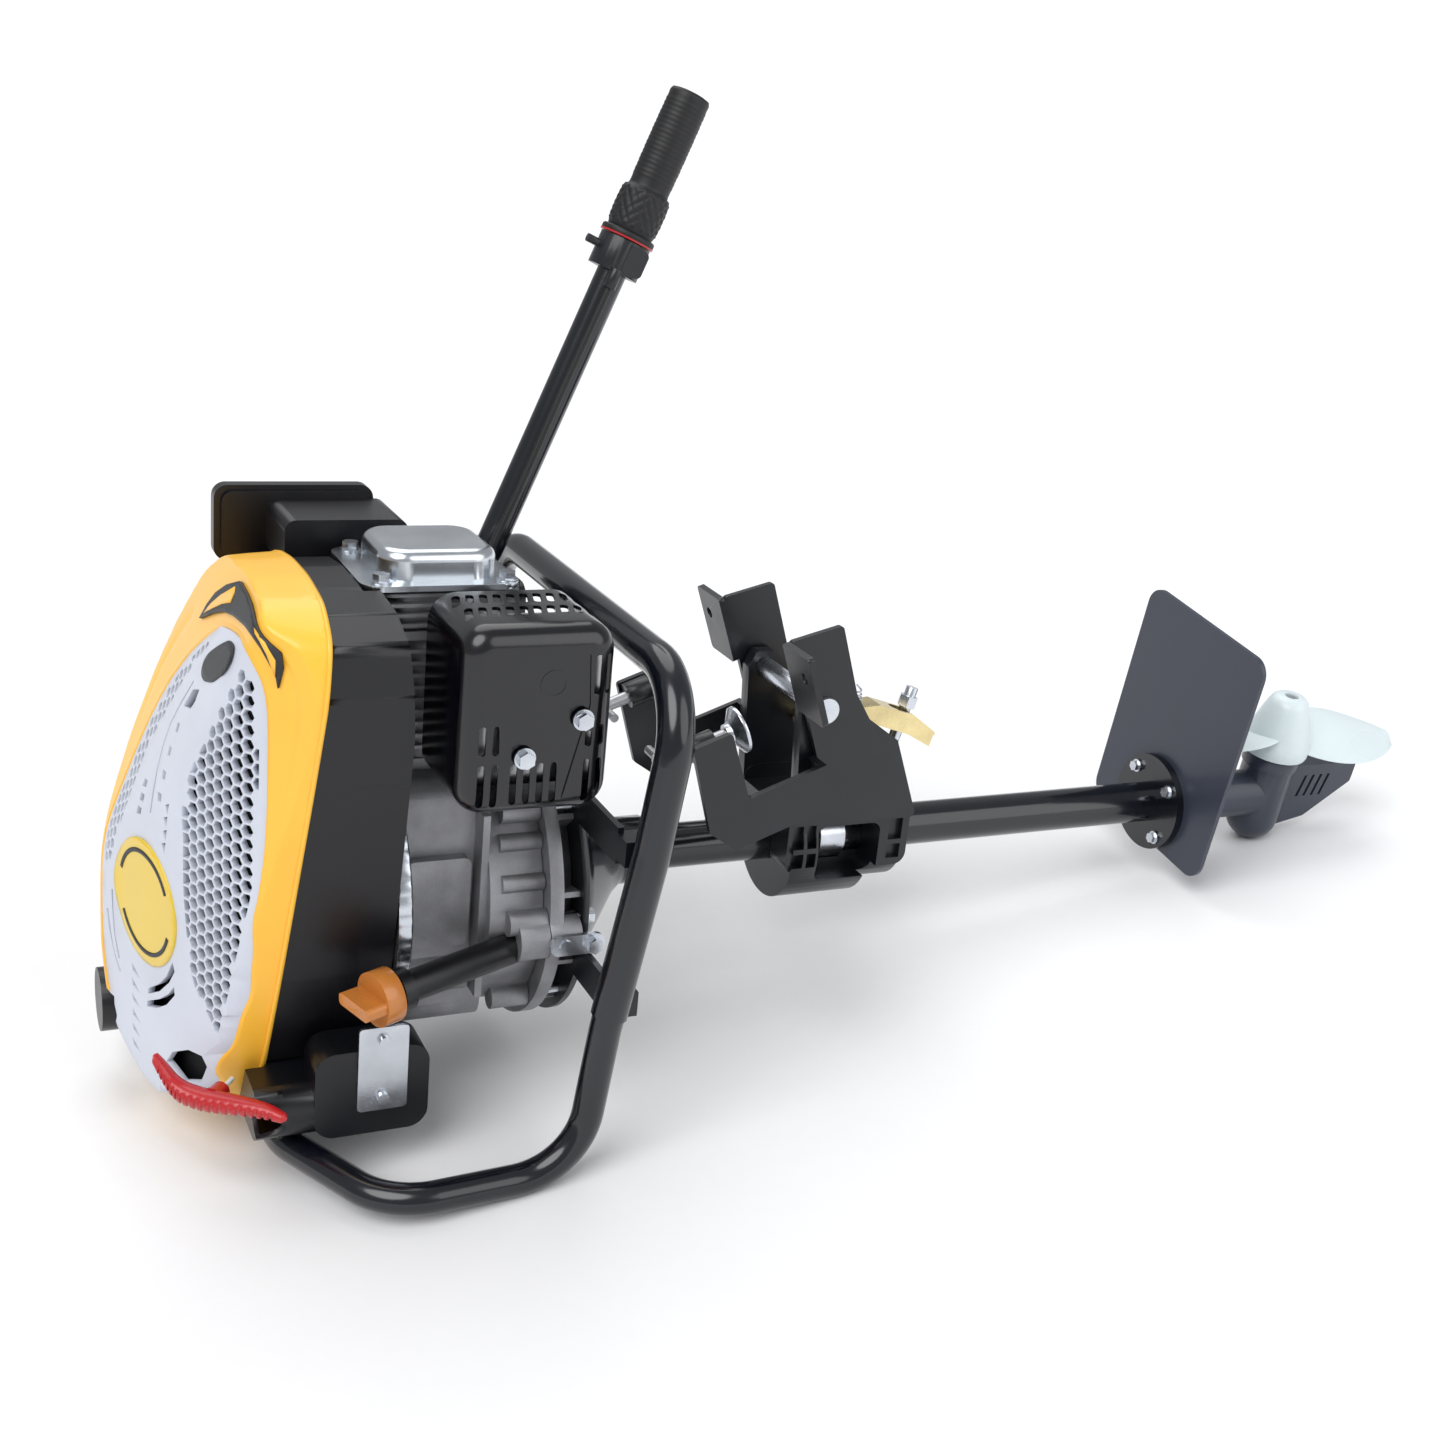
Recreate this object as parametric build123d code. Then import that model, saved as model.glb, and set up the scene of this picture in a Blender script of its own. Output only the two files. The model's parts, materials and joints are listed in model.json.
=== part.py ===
from build123d import *
from math import cos, pi, radians, sin
import os

# Petrol outboard motor: air-cooled four-stroke engine, steel hoop frame, long drive tube,
# transom clamp, bevel-gear lower unit and tiller.
# It is drawn along its drive shaft: +X runs down the shaft to the propeller, +Z points the
# way the cylinder does, and the origin is on the shaft at the anti-ventilation plate.
# The whole motor is then tipped to the attitude in which it lies on the ground.

# Driving dimensions, mm and degrees
LYING_PITCH = 8.26          # droop of the shaft towards the propeller when it lies down
GROUND_SHIFT = (324.75, 0.0, 63.94)   # from the shaft origin to the centre of the footprint

TUBE_R, TUBE_WALL = 17.5, 2.5
BELL_END, SUMP_BACK, SUMP_FRONT = -515.0, -582.0, -606.0
BASE_R = 112.0
BORE_R, CYL_X, PORT_Z = 35.0, -668.0, 199.5
DECK_Z, HEAD_Z, COVER_Z = 190.0, 225.0, 249.0
GEAR_X = 122.0              # propeller axis along the shaft
LOWER_ROLL = 9.0            # lower unit's small twist about the tube
PINION_TEETH, WHEEL_TEETH = 14, 24

HOOP_R, HOOP_WALL, HOOP_Y = 12.5, 1.2, 190.0
LOOP_R = 11.0

PIN_X, PIN_Z = -380.0, 129.0          # tilt pin
CLAMP_TILT = 20.0                     # clamp leans back from square to the shaft
PLATE_Y, LEG_Y, SHEET = 56.0, 72.0, 5.0
JAW_GAP = 66.0                        # between the screw leg and the transom face
SCREW_Y, SCREW_Z, SCREW_OUT = 60.0, 12.0, 6.0   # clamp screws, and how far they stand back

TILLER_X, TILLER_Y, TILLER_Z = -609.5, 75.0, 204.0
TILLER_LEAN = 21.8
TILLER_R = 11.0

CAP_Y, CAP_Z = 94.0, -128.0           # fuel cap
TANK_TOP = -98.0
HANDLE_AT, HANDLE_ALONG = (-834, -102, -107), (0.72, -0.66, -0.2)
FILLER_BOSS, FILLER_BOSS_R = (-103.0, -12.0), 15.5   # cast boss the oil filler tube enters
PULL = (-0.62, -0.78, 0.0)            # the way the starter rope runs out
FIT = 0.05                            # radial clearance of a running fit

os.makedirs("parts", exist_ok=True)


def rod(p, q, r):
    """A round bar from point p to point q."""
    axis = Vector(*q) - Vector(*p)
    plane = Plane(origin=p, z_dir=axis)
    return plane * Cylinder(r, axis.length, align=(Align.CENTER, Align.CENTER, Align.MIN))


def pipe(p, q, outer, inner):
    return rod(p, q, outer) - rod(p, q, inner)


def xrod(x0, x1, r, y=0.0, z=0.0):
    return rod((x0, y, z), (x1, y, z), r)


def yrod(y0, y1, r, x, z):
    return rod((x, y0, z), (x, y1, z), r)


def zrod(z0, z1, r, x, y):
    return rod((x, y, z0), (x, y, z1), r)


def block(x0, x1, y0, y1, z0, z1):
    return Pos((x0 + x1) / 2, (y0 + y1) / 2, (z0 + z1) / 2) * Box(x1 - x0, y1 - y0, z1 - z0)


def slab(normal, x0, x1, y0, y1, z0, z1, r):
    """A block whose four edges along one axis are rounded."""
    mid = Pos((x0 + x1) / 2, (y0 + y1) / 2, (z0 + z1) / 2)
    dx, dy, dz = x1 - x0, y1 - y0, z1 - z0
    if normal == "x":
        return mid * extrude(Plane.YZ * RectangleRounded(dy, dz, r), dx / 2, both=True)
    if normal == "y":
        return mid * extrude(Plane.XZ * RectangleRounded(dx, dz, r), dy / 2, both=True)
    return mid * extrude(Plane.XY * RectangleRounded(dx, dy, r), dz / 2, both=True)


def xz_prism(points, y0, y1, r=0.0):
    """A flat plate seen from the side: points are (x, z), thickness runs from y0 to y1."""
    face = make_face(Polyline(*[(x, 0, z) for x, z in points], close=True))
    if r:
        face = fillet(face.vertices(), r)
    return Pos(0, y0, 0) * extrude(face, y1 - y0, dir=(0, 1, 0))


def yz_prism(wire_face, x0, x1):
    return Pos(x0, 0, 0) * extrude(wire_face, x1 - x0, dir=(1, 0, 0))


def turned(profile):
    """A body of revolution about the shaft: profile is a list of (x, radius)."""
    face = make_face(Polyline(*[(x, 0, r) for x, r in profile], close=True))
    return revolve(face, Axis.X, 360)


def hexagon(p, direction, across, height):
    plane = Plane(origin=p, z_dir=direction)
    return extrude(plane * RegularPolygon(across / 2, 6, major_radius=False), height)


def bolt(p, direction, across=10.0, head=5.0, shank=3.0, grip=14.0):
    """A flanged hex bolt: p is under the head and direction points out of the head."""
    d = Vector(*direction).normalized()
    p = Vector(*p)
    body = rod(p, (p + d * 1.5), across * 0.72)
    body += hexagon((p + d * 1.4), d, across, head)
    return body + rod((p - d * grip), (p + d * 1.0), shank)


def mirrored(shape):
    return mirror(shape, Plane.XZ)


# ---------------------------------------------------------------- engine
def outline_face(near, far, r, inset=0.0):
    """A closed outline from its (y, z) points down the near side and down the far side."""
    pts = [(0, -y, z) for y, z in near] + [(0, y, z) for y, z in far[-2:0:-1]]
    face = fillet(make_face(Polyline(*pts, close=True)).vertices(), r)
    return offset(face, -inset, kind=Kind.INTERSECTION) if inset else face


RIM_NEAR = [(0, 232), (48, 231), (96, 227), (127, 213), (134, 180), (124, 118),
            (106, 22), (96, -30), (80, -100), (56, -140), (0, -158)]
RIM_FAR = [(0, 232), (40, 228), (76, 212), (104, 184), (122, 148), (124, 75),
           (110, 0), (92, -60), (70, -112), (44, -146), (0, -158)]
FRONT_NEAR = [(0, 230), (38, 224), (80, 206), (108, 178), (118, 136), (110, 64),
              (96, 4), (86, -46), (70, -106), (42, -146), (0, -162)]
FRONT_FAR = [(0, 230), (30, 218), (62, 194), (92, 156), (108, 112), (112, 60),
             (104, 0), (90, -60), (68, -112), (40, -148), (0, -162)]
FACE = [(-799, 241), (-829, 150), (-859, 60), (-882, -20), (-884, -90), (-878, -135), (-856, -166)]
RIM = [(-804.7, -192), (-763.3, 273)]
PLAN = [(-772, -133), (-806, -104), (-834, -62), (-853, -8), (-867, 40), (-880, 84), (-862, 116),
        (-808, 133)]


def cover_outline(inset=0.0):
    """Outline of the engine cover at its rim, pear-shaped and narrow at the bottom."""
    return outline_face(RIM_NEAR, RIM_FAR, 14, inset)


def cover_taper(inset=0.0):
    """The cover's outline drawn in towards the front, as one tapering block."""
    rim = Pos(-756, 0, 0) * outline_face(RIM_NEAR, RIM_FAR, 14, inset)
    front = Pos(-890, 0, 0) * outline_face(FRONT_NEAR, FRONT_FAR, 14, inset)
    return loft([rim, front], ruled=True)


def cover_side(inset=0.0, rim_gap=0.0):
    """Side profile of the cover between its curved face and its sloping rim."""
    front = Spline(*[(x + inset, 0, z) for x, z in FACE])
    (xb, zb), (xt, zt) = RIM
    back = Polyline(front @ 1, (xb + rim_gap, 0, zb), (xt + rim_gap, 0, zt), front @ 0)
    return make_face([front, back])


def cover_dome(inset=0.0):
    """Plan of the domed face, seen along the cylinder; it stands out most on the far side."""
    bow = Spline(*[(x + inset, y, 0) for x, y in PLAN])
    back = Polyline(bow @ 1, (-700, PLAN[-1][1], 0), (-700, PLAN[0][1], 0), bow @ 0)
    return Pos(0, 0, -220) * extrude(make_face([bow, back]), 520, dir=(0, 0, 1))


def side_solid(inset=0.0, rim_gap=0.0):
    return Pos(0, -160, 0) * extrude(cover_side(inset, rim_gap), 320, dir=(0, 1, 0))


def cover_block(inset=0.0, rim_gap=0.0):
    """The whole cover as one filled block."""
    return cover_taper(inset) & side_solid(inset, rim_gap) & cover_dome(inset)


def handle_recess():
    """Room for the starter handle in the cover's lower corner."""
    c, along = Vector(*HANDLE_AT), Vector(*HANDLE_ALONG).normalized()
    out = Vector(*PULL).normalized()
    room = rod(c - along * 62, c + along * 62, 14)
    return room + Pos(out * 12) * room + Pos(out * 24) * room


GRILLE_HALF = [(0, 200), (40, 176), (74, 120), (90, 60), (90, 0), (76, -70), (54, -130), (0, -150)]


def grille_outline(inset=0.0):
    return outline_face(GRILLE_HALF, GRILLE_HALF, 14, inset)


def top_shroud():
    skin = cover_block() - cover_block(5, 20)
    skin -= yz_prism(grille_outline(), -900, -790)
    skin -= xrod(-900, -800, 26, CAP_Y, CAP_Z)
    return skin - handle_recess()


def shroud_grille():
    leaf = (yz_prism(grille_outline(0.6), -900, -790) & cover_block()) - cover_block(5, 20)
    for i in range(9):
        z = 120 - 24 * i
        for side in (-1, 1):
            leaf -= slab("x", -900, -780, side * 46 - 18, side * 46 + 18, z - 6, z + 6, 5)
    return leaf - handle_recess()


def blower_housing():
    (xb, zb), (xt, zt) = RIM
    gap = 1.2
    side = make_face(Polyline((xb + gap, 0, zb), (xt + gap, 0, zt), (-722, 0, zt), (-712, 0, 150),
                              (-712, 0, zb), close=True))
    body = yz_prism(cover_outline(2), -900, -700) & (Pos(0, -160, 0) * extrude(side, 320, dir=(0, 1, 0)))
    body -= yz_prism(cover_outline(6), -900, -716) & block(-900, -716, -160, 160, TANK_TOP + 5, 300)
    body -= block(-900, -700, -200, 200, -300, TANK_TOP + 1)
    body -= block(-764, -700, 56, 200, 198, 300)
    body -= xrod(-720, -700, 44)
    return body - block(-730, -700, -56, 56, 60, 300)


def crankcase():
    body = slab("x", -711, -640, -70, 70, -92, 96, 18) + xrod(-645, SUMP_FRONT - 0.6, 98)
    body += block(-712 + 1, -620, -44, 44, 60, 104)
    body += zrod(90, DECK_Z - 0.3, BORE_R + 10, CYL_X, 0)
    for i in range(9):
        z = 112 + 8.6 * i
        body += slab("z", CYL_X - 50, CYL_X + 50, -46, 46, z, z + 2.4, 8)
    body += slab("y", -700, -654, -79, -60, -24, 42, 6) + xrod(-704, -652, 15, -64, -50)
    body += block(-650, -645, -88, -50, -62, 76) + block(-650, -645, 50, 88, -62, 76)
    body += xrod(-628, SUMP_FRONT - 0.6, FILLER_BOSS_R, *FILLER_BOSS)
    for y, z in ((-93, 26), (-82, 52)):
        body += xrod(-637, SUMP_FRONT - 0.6, 6.5, y, z)
    for y, z in base_bolt_places():
        body += xrod(-634, SUMP_FRONT - 0.6, 9, y, z)
    body -= xrod(-702, SUMP_FRONT + 1, 62)
    body -= block(-645, -600, -58, 58, -58, 58)
    body -= xrod(-720, -700, 12 + FIT)
    body -= zrod(50, DECK_Z + 1, BORE_R, CYL_X, 0)
    for y, z in base_bolt_places():
        body -= xrod(-626, SUMP_FRONT + 1, 3.6, y, z)
    a, b, d = oil_line()
    return body - rod(a - d * 30, b, 11.05)


def cylinder_head():
    head = slab("z", CYL_X - 48, CYL_X + 50, -46, 46, DECK_Z, DECK_Z + 6, 8)
    head += slab("z", CYL_X - 36, CYL_X + 44, -40, 40, DECK_Z, HEAD_Z - 0.3, 10)
    for i in range(4):
        z = DECK_Z + 9 + 7 * i
        head += slab("z", CYL_X - 46, CYL_X + 50, -46, 46, z, z + 2.4, 8)
    head += yrod(-58, 0, 12.4, CYL_X + 20, DECK_Z + 17)
    head += yrod(0, 58, 9, CYL_X - 4, PORT_Z)
    head -= yrod(-59, 0, 9, CYL_X + 20, DECK_Z + 17)
    head -= yrod(0, 59, 6, CYL_X - 4, PORT_Z)
    head -= Pos(CYL_X, 0, DECK_Z) * Cone(BORE_R - 2, 14, 20, align=(Align.CENTER,) * 2 + (Align.MIN,))
    a, b, d = plug_line()
    return head - rod(a, b, 6.1) - rod(a + d * 30, b, 11)


def rocker_cover():
    x0, x1 = CYL_X - 60, CYL_X + 50
    base = slab("z", x0, x1, -50, 54, HEAD_Z, HEAD_Z + 4, 14)
    dome = slab("z", x0 + 16, x1 - 12, -38, 40, HEAD_Z, COVER_Z, 20)
    dome = fillet(dome.edges().group_by(Axis.Z)[-1], 8)
    inner = slab("z", x0 + 20, x1 - 16, -34, 36, HEAD_Z - 1, COVER_Z - 9, 16)
    body = base + dome - inner
    for x, y in cover_bolt_places():
        body -= zrod(HEAD_Z - 1, HEAD_Z + 6, 3.4, x, y)
    return body


def cover_bolt_places():
    return [(CYL_X - 46, -40), (CYL_X - 46, 44), (CYL_X + 41, -40), (CYL_X + 41, 44)]


def base_bolt_places():
    return [(102 * cos(radians(a)), 102 * sin(radians(a))) for a in range(45, 405, 45)]


def flange_bolts():
    parts = []
    for x, y in cover_bolt_places():
        parts.append(zrod(HEAD_Z - 0.3, HEAD_Z + 4.5, 3, x, y) + bolt((x, y, HEAD_Z + 4.0), (0, 0, 1), grip=4))
    for y, z in base_bolt_places():
        parts.append(bolt((SUMP_BACK + 5.0, y, z), (1, 0, 0), grip=36))
    for y, z in muffler_bolt_places():
        parts.append(bolt((y, -157.4, z), (0, -1, 0), across=10, grip=10))
    roll = Rot(LOWER_ROLL, 0, 0)
    for a in (45, 135, 225, 315):
        y, z = 33 * cos(radians(a)), 33 * sin(radians(a))
        parts.append(roll * bolt((-7.2, y, z), (-1, 0, 0), across=8, head=4, shank=2.5, grip=18))
    return Compound(children=[Compound(p.solids()) for p in parts])


def muffler_bolt_places():
    return [(-611, 169), (-649, 145)]


def sump():
    body = turned([(SUMP_FRONT, 0), (SUMP_FRONT, BASE_R), (SUMP_FRONT + 10, BASE_R),
                   (SUMP_FRONT + 12, 96), (SUMP_BACK, 88), (SUMP_BACK, 0)])
    body -= turned([(SUMP_FRONT - 1, 0), (SUMP_FRONT - 1, 84), (SUMP_FRONT + 12, 80),
                    (SUMP_BACK - 6, 70), (SUMP_BACK - 6, 0)])
    body -= xrod(SUMP_BACK - 8, SUMP_BACK + 2, 12 + FIT)
    body += turned([(SUMP_FRONT + 4, 16), (SUMP_FRONT + 4, 24), (SUMP_BACK - 4, 24), (SUMP_BACK - 4, 16)])
    for a in range(20, 380, 30):
        rib = block(SUMP_FRONT + 9, SUMP_BACK, -2, 2, 80, 106)
        body += Rot(a, 0, 0) * rib
    body += xrod(SUMP_FRONT, SUMP_BACK - 1, FILLER_BOSS_R, *FILLER_BOSS)
    for y, z in base_bolt_places():
        body -= xrod(SUMP_FRONT - 1, SUMP_BACK + 6, 3.6, y, z)
    return body


def mounting_plate():
    x0, x1 = SUMP_BACK + 0.3, SUMP_BACK + 4.8
    plate = xrod(x0, x1, BASE_R) - xrod(x0 - 1, x1 + 1, 64)
    for side in (-1, 1):
        for z0, z1 in ((66, 92), (-46, -20)):
            arm = xz_prism([(x0, z0), (x1, z0), (x1, z1), (x0, z1)], 84, 160)
            tip = xz_prism([(x0, z0 + 4), (x1 + 14, z0 + 4), (x1 + 14, z1 - 4), (x0, z1 - 4)], 156, 176)
            both = arm + tip
            plate += both if side > 0 else mirrored(both)
    plate += slab("x", x0, x1, 58, 92, 60, 196, 12)
    for y, z in base_bolt_places():
        plate -= xrod(x0 - 1, x1 + 1, 3.6, y, z)
    return plate


def clutch_bell():
    x0 = SUMP_BACK + 5.4
    end = BELL_END + 22
    body = turned([(x0, 0), (x0, 90), (x0 + 8, 90), (BELL_END - 10, 34), (BELL_END, 26), (end, 26), (end, 0)])
    body -= turned([(x0 - 1, 0), (x0 - 1, 70), (x0 + 10, 68), (BELL_END - 22, 30),
                    (BELL_END - 8, 14), (BELL_END - 8, 0)])
    body -= xrod(BELL_END - 6, end + 1, TUBE_R + FIT)
    return body - xrod(BELL_END - 20, BELL_END, 13)


HOOP_SIDE = [(-590, -30), (-569, 86), (-554, 201)]


def upper_hoop():
    """The bent tube across the top of the frame; its two lower ends are open sockets."""
    pts = [(x, -HOOP_Y, z) for x, z in HOOP_SIDE] + [(x, HOOP_Y, z) for x, z in reversed(HOOP_SIDE)]
    path = FilletPolyline(*pts, radius=[120, 54, 54, 120])
    start = Plane(origin=path @ 0, z_dir=path % 0)
    return sweep(start * (Circle(HOOP_R) - Circle(HOOP_R - HOOP_WALL)), path=path)


def lower_loop():
    """The bent tube under the engine; it plugs 24 mm into the hoop and lies on the ground."""
    (x0, z0), (x1, z1) = HOOP_SIDE[:2]
    up = Vector(x1 - x0, 0, z1 - z0).normalized()
    side = [(x0 + up.X * 24, z0 + up.Z * 24), (x0 - up.X * 10, z0 - up.Z * 10), (-605, -146), (-735, -151)]
    pts = [(x, -HOOP_Y, z) for x, z in side] + [(-785, -94, -151)]
    pts += [(x, -y, z) for x, y, z in reversed(pts)]
    path = FilletPolyline(*pts, radius=[60] + [52] * 6 + [60])
    return sweep(Plane(origin=path @ 0, z_dir=path % 0) * Circle(LOOP_R), path=path)


def muffler_guard():
    x0, x1, y0, y1, z0, z1 = -691, -588, -156, -72, 104, 231
    body = fillet(block(x0, x1, y0, y1, z0, z1).edges().filter_by(Axis.X), 10)
    body -= block(x0 + 2, x1 - 2, y0 + 2, y1 + 1, z0 + 2, z1 - 2)
    for i in range(10):
        x = x0 + 12 + 8.8 * i
        for y in (-128, -98):
            body -= slab("z", x - 2.2, x + 2.2, y - 11, y + 11, z1 - 5, z1 + 5, 2)
    for i in range(5):
        x = x1 - 12 - 9 * i
        body -= slab("y", x - 2, x + 2, y0 - 5, y0 + 5, z0 + 18, z0 + 46, 1.9)
    for x, z in muffler_bolt_places():
        body -= yrod(y0 - 5, y0 + 5, 3.4, x, z)
    return body


def muffler_body():
    can = slab("x", -683, -596, -146, -84, 116, 224, 20) - slab("x", -681, -598, -144, -86, 118, 222, 18)
    inlet = pipe((CYL_X + 20, -87, DECK_Z + 17), (CYL_X + 20, -58.3, DECK_Z + 17), 12, 9)
    flange = yrod(-66, -58.3, 19, CYL_X + 20, DECK_Z + 17) - yrod(-67, -58, 9, CYL_X + 20, DECK_Z + 17)
    can -= yrod(-90, -80, 9, CYL_X + 20, DECK_Z + 17)
    return can + inlet + flange


def air_cleaner_case():
    outer = slab("y", -756, -668, 62, 127, 206, 246, 8)
    inner = slab("y", -753, -671, 65, 128, 209, 243, 6)
    outer += slab("y", -788, -682, 124, 127.4, 204, 252, 8)
    return outer - inner - zrod(190, 212, 8, CYL_X - 4, 96)


def air_cleaner_lid():
    body = slab("y", -793, -677, 127.8, 142, 200, 256, 10)
    body -= slab("y", -788, -682, 127, 139, 205, 251, 7)
    return fillet(body.edges().group_by(Axis.Y)[-1], 3)


def air_filter():
    return slab("y", -750, -674, 96, 124, 211, 241, 4)


def carburettor():
    x, z = CYL_X - 4, PORT_Z
    body = block(x - 13, x + 13, 58.4, 110, z - 12, 205.7) + zrod(z - 42, z - 4, 14, x, 82)
    return body - yrod(50, 104, 5.8, x, z) - zrod(z, 230, 6, x, 96)


def fuel_tank():
    """Moulded tank under the engine, with a lobe that rises beside the crankcase."""
    x0, x1, y0, y1, z0 = -808, -692, -126, 122, -135
    body = slab("x", x0, x1, y0, y1, z0, TANK_TOP, 16)
    body += slab("y", -770, x1, y0, y0 + 34, z0, -71, 14)
    body -= slab("x", x0 + 3, x1 - 3, y0 + 3, y1 - 3, z0 + 3, TANK_TOP - 3, 13)
    body -= slab("y", -767, x1 - 3, y0 + 3, y0 + 31, z0 + 3, -74, 11)
    body += block(-793, -790, y0 + 6, y1 - 6, z0 + 2, TANK_TOP - 1)
    body -= yz_prism(cover_outline(-3), -900, -793)
    body -= yz_prism(cover_outline(0), -900, -700) & block(-900, -700, -200, 200, TANK_TOP - 0.5, 0)
    body += pipe((x0 + 14, CAP_Y, CAP_Z), (-858, CAP_Y, CAP_Z), 13, 10)
    return body - handle_recess()


def fuel_cap():
    return xrod(-882, -846, 24, CAP_Y, CAP_Z) - xrod(-878, -845, 13.4, CAP_Y, CAP_Z)


def oil_line():
    a, b = Vector(-614, -95, -19), Vector(-722, -131, -27)
    return a, b, (b - a).normalized()


def oil_filler_tube():
    a, b, d = oil_line()
    body = pipe(a, b, 11, 8.5)
    collar = pipe((b - d * 12), (b - d * 3), 14.5, 10)
    return body + collar


def oil_filler_cap():
    a, b, d = oil_line()
    body = rod((b + d * 0.4), (b + d * 14), 19)
    body += rod((b - d * 10), (b + d * 1), 8.4)
    body += rod((b - d * 60), (b - d * 9), 1.6)
    wing = Plane(origin=(b + d * 13.5), z_dir=d) * extrude(RectangleRounded(34, 9, 3), 16)
    return body + wing


def filler_clamp():
    """Ear plate on the outside of the filler boss, with its rivet and its bolt."""
    y, z = FILLER_BOSS
    face = y - FILLER_BOSS_R - 0.1
    ear = slab("y", -608, -568, face - 3.4, face, z - 7.5, z + 7.5, 7)
    return ear + yrod(face - 5, face - 3, 4.5, -597, z) + bolt((-577, face - 3.4, z), (0, -1, 0), grip=5)


def tank_bracket():
    strip = slab("y", -742, -708, -129.2, -126.6, -116, -53, 3)
    return strip + yrod(-133, -129, 4, -725, -106) + yrod(-133, -129, 4, -725, -63)


def plug_line():
    """Spark plug axis: its tip in the chamber, its outer end, and the direction between."""
    a, b = Vector(CYL_X - 8, -4, DECK_Z + 8), Vector(CYL_X - 68, -27, DECK_Z + 25)
    return a, b, (b - a).normalized()


def spark_plug():
    a, b, d = plug_line()
    return rod(a, a + d * 44, 6) + hexagon(a + d * 32, d, 16, 8) + rod(a + d * 40, a + d * 66, 4.5)


def plug_lead():
    a, b, d = plug_line()
    p = a + d * 62
    cap = rod(a + d * 46, p + d * 14, 8.5) - rod(a, a + d * 66.5, 4.8)
    start = p + d * 9
    path = FilletPolyline(start, start + Vector(-6, -34, -6), (-727, -92, 190), (-722.4, -84, 150),
                          radius=[12, 14])
    return cap + sweep(Plane(origin=path @ 0, z_dir=path % 0) * Circle(3.5), path=path)


def piston():
    body = zrod(128, 178, BORE_R - FIT, CYL_X, 0) - zrod(127, 170, BORE_R - 6, CYL_X, 0)
    body += yrod(-BORE_R + 1, BORE_R - 1, 8, CYL_X, 145) & zrod(120, 178, BORE_R - 1, CYL_X, 0)
    return body


# ---------------------------------------------------------------- turning parts
def crankshaft():
    body = xrod(-795, -690, 12) + xrod(-625, SUMP_BACK + 20, 12)
    for x in (-690, CYL_X + 8):
        web = xrod(x, x + 14, 30) + slab("x", x, x + 14, -20, 20, 0, 52, 12)
        body += web
    body += xrod(CYL_X + 21, -624, 12)
    body += xrod(-677, CYL_X + 9, 14, 0, 28)
    return body


def flywheel():
    body = xrod(-768, -756, 86) + xrod(-772, -742, 22)
    for i in range(16):
        body += Rot(i * 22.5, 0, 0) * block(-784, -767, -1.5, 1.5, 54, 84)
    body += pipe((-790, 0, 0), (-767, 0, 0), 34, 30)
    return body - xrod(-800, -740, 12)


def starter_reel():
    body = xrod(-812, -797, 40) - (xrod(-810, -799, 41) - xrod(-810, -799, 30))
    return body - xrod(-813, -796, 12.4)


def clutch_shoes():
    hub = xrod(SUMP_BACK + 7, SUMP_BACK + 20, 20) - xrod(SUMP_BACK + 6, SUMP_BACK + 21, 12)
    shoe = pipe((SUMP_BACK + 7, 0, 0), (SUMP_BACK + 20, 0, 0), 40, 20)
    shoe -= block(-600, -500, -60, 60, -3, 3)
    return hub + shoe


def clutch_drum():
    x = SUMP_BACK + 24
    body = xrod(x - 17, x + 4, 45) - xrod(x - 18, x, 41.5)
    return body - xrod(x - 1, x + 5, 6)


def drive_shaft():
    return xrod(SUMP_BACK + 24.2, GEAR_X - 24, 6)


def lower(shape):
    """Turn a lower-unit piece about the tube by the unit's small twist."""
    return Rot(LOWER_ROLL, 0, 0) * shape


def pinion():
    """Small bevel gear on the drive shaft."""
    x1 = GEAR_X - 8
    gear = turned([(x1 - 12, 6), (x1 - 12, 13.6), (x1, 8.6), (x1, 6)])
    for i in range(PINION_TEETH):
        tooth = turned([(x1 - 12, 13), (x1 - 12, 15.2), (x1, 9.8), (x1, 8)])
        gear += Rot(i * 360 / PINION_TEETH, 0, 0) * (tooth & block(x1 - 13, x1 + 1, -1.1, 1.1, 0, 30))
    return gear + xrod(x1 - 12, x1, 6.2) - xrod(x1 - 16, x1 - 10, 6)


def prop_shaft():
    return lower(zrod(-34, 92, 6, GEAR_X, 0))


def bevel_gear():
    """Large bevel gear on the propeller shaft, under the pinion."""
    z1 = -15.6
    disc = zrod(z1 - 7, z1 - 1, 17, GEAR_X, 0)
    for i in range(WHEEL_TEETH):
        disc -= Pos(GEAR_X, 0, 0) * (Rot(0, 0, i * 360 / WHEEL_TEETH) * block(11, 18, -0.9, 0.9, z1 - 3, z1))
    gear = disc + zrod(z1 - 14, z1, 10, GEAR_X, 0)
    return lower(gear - zrod(-60, 0, 6, GEAR_X, 0))


def propeller():
    """Two broad blades on a conical hub, one moulding."""
    base = (Align.CENTER, Align.CENTER, Align.MIN)
    body = Pos(GEAR_X, 0, 42.5) * Cylinder(30, 14, align=base) + Pos(GEAR_X, 0, 56) * Cone(30, 15, 42, align=base)
    blade = Pos(62, 0, 0) * extrude(Ellipse(56, 42), 2.4, both=True)
    for turn in (0, 180):
        body += Pos(GEAR_X, 0, 57) * (Rot(0, 0, turn - 6) * (Rot(14, 0, 0) * blade))
    return lower(body - zrod(30, 110, 6, GEAR_X, 0) - zrod(30, 42.5, 150, GEAR_X, 0))


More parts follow.
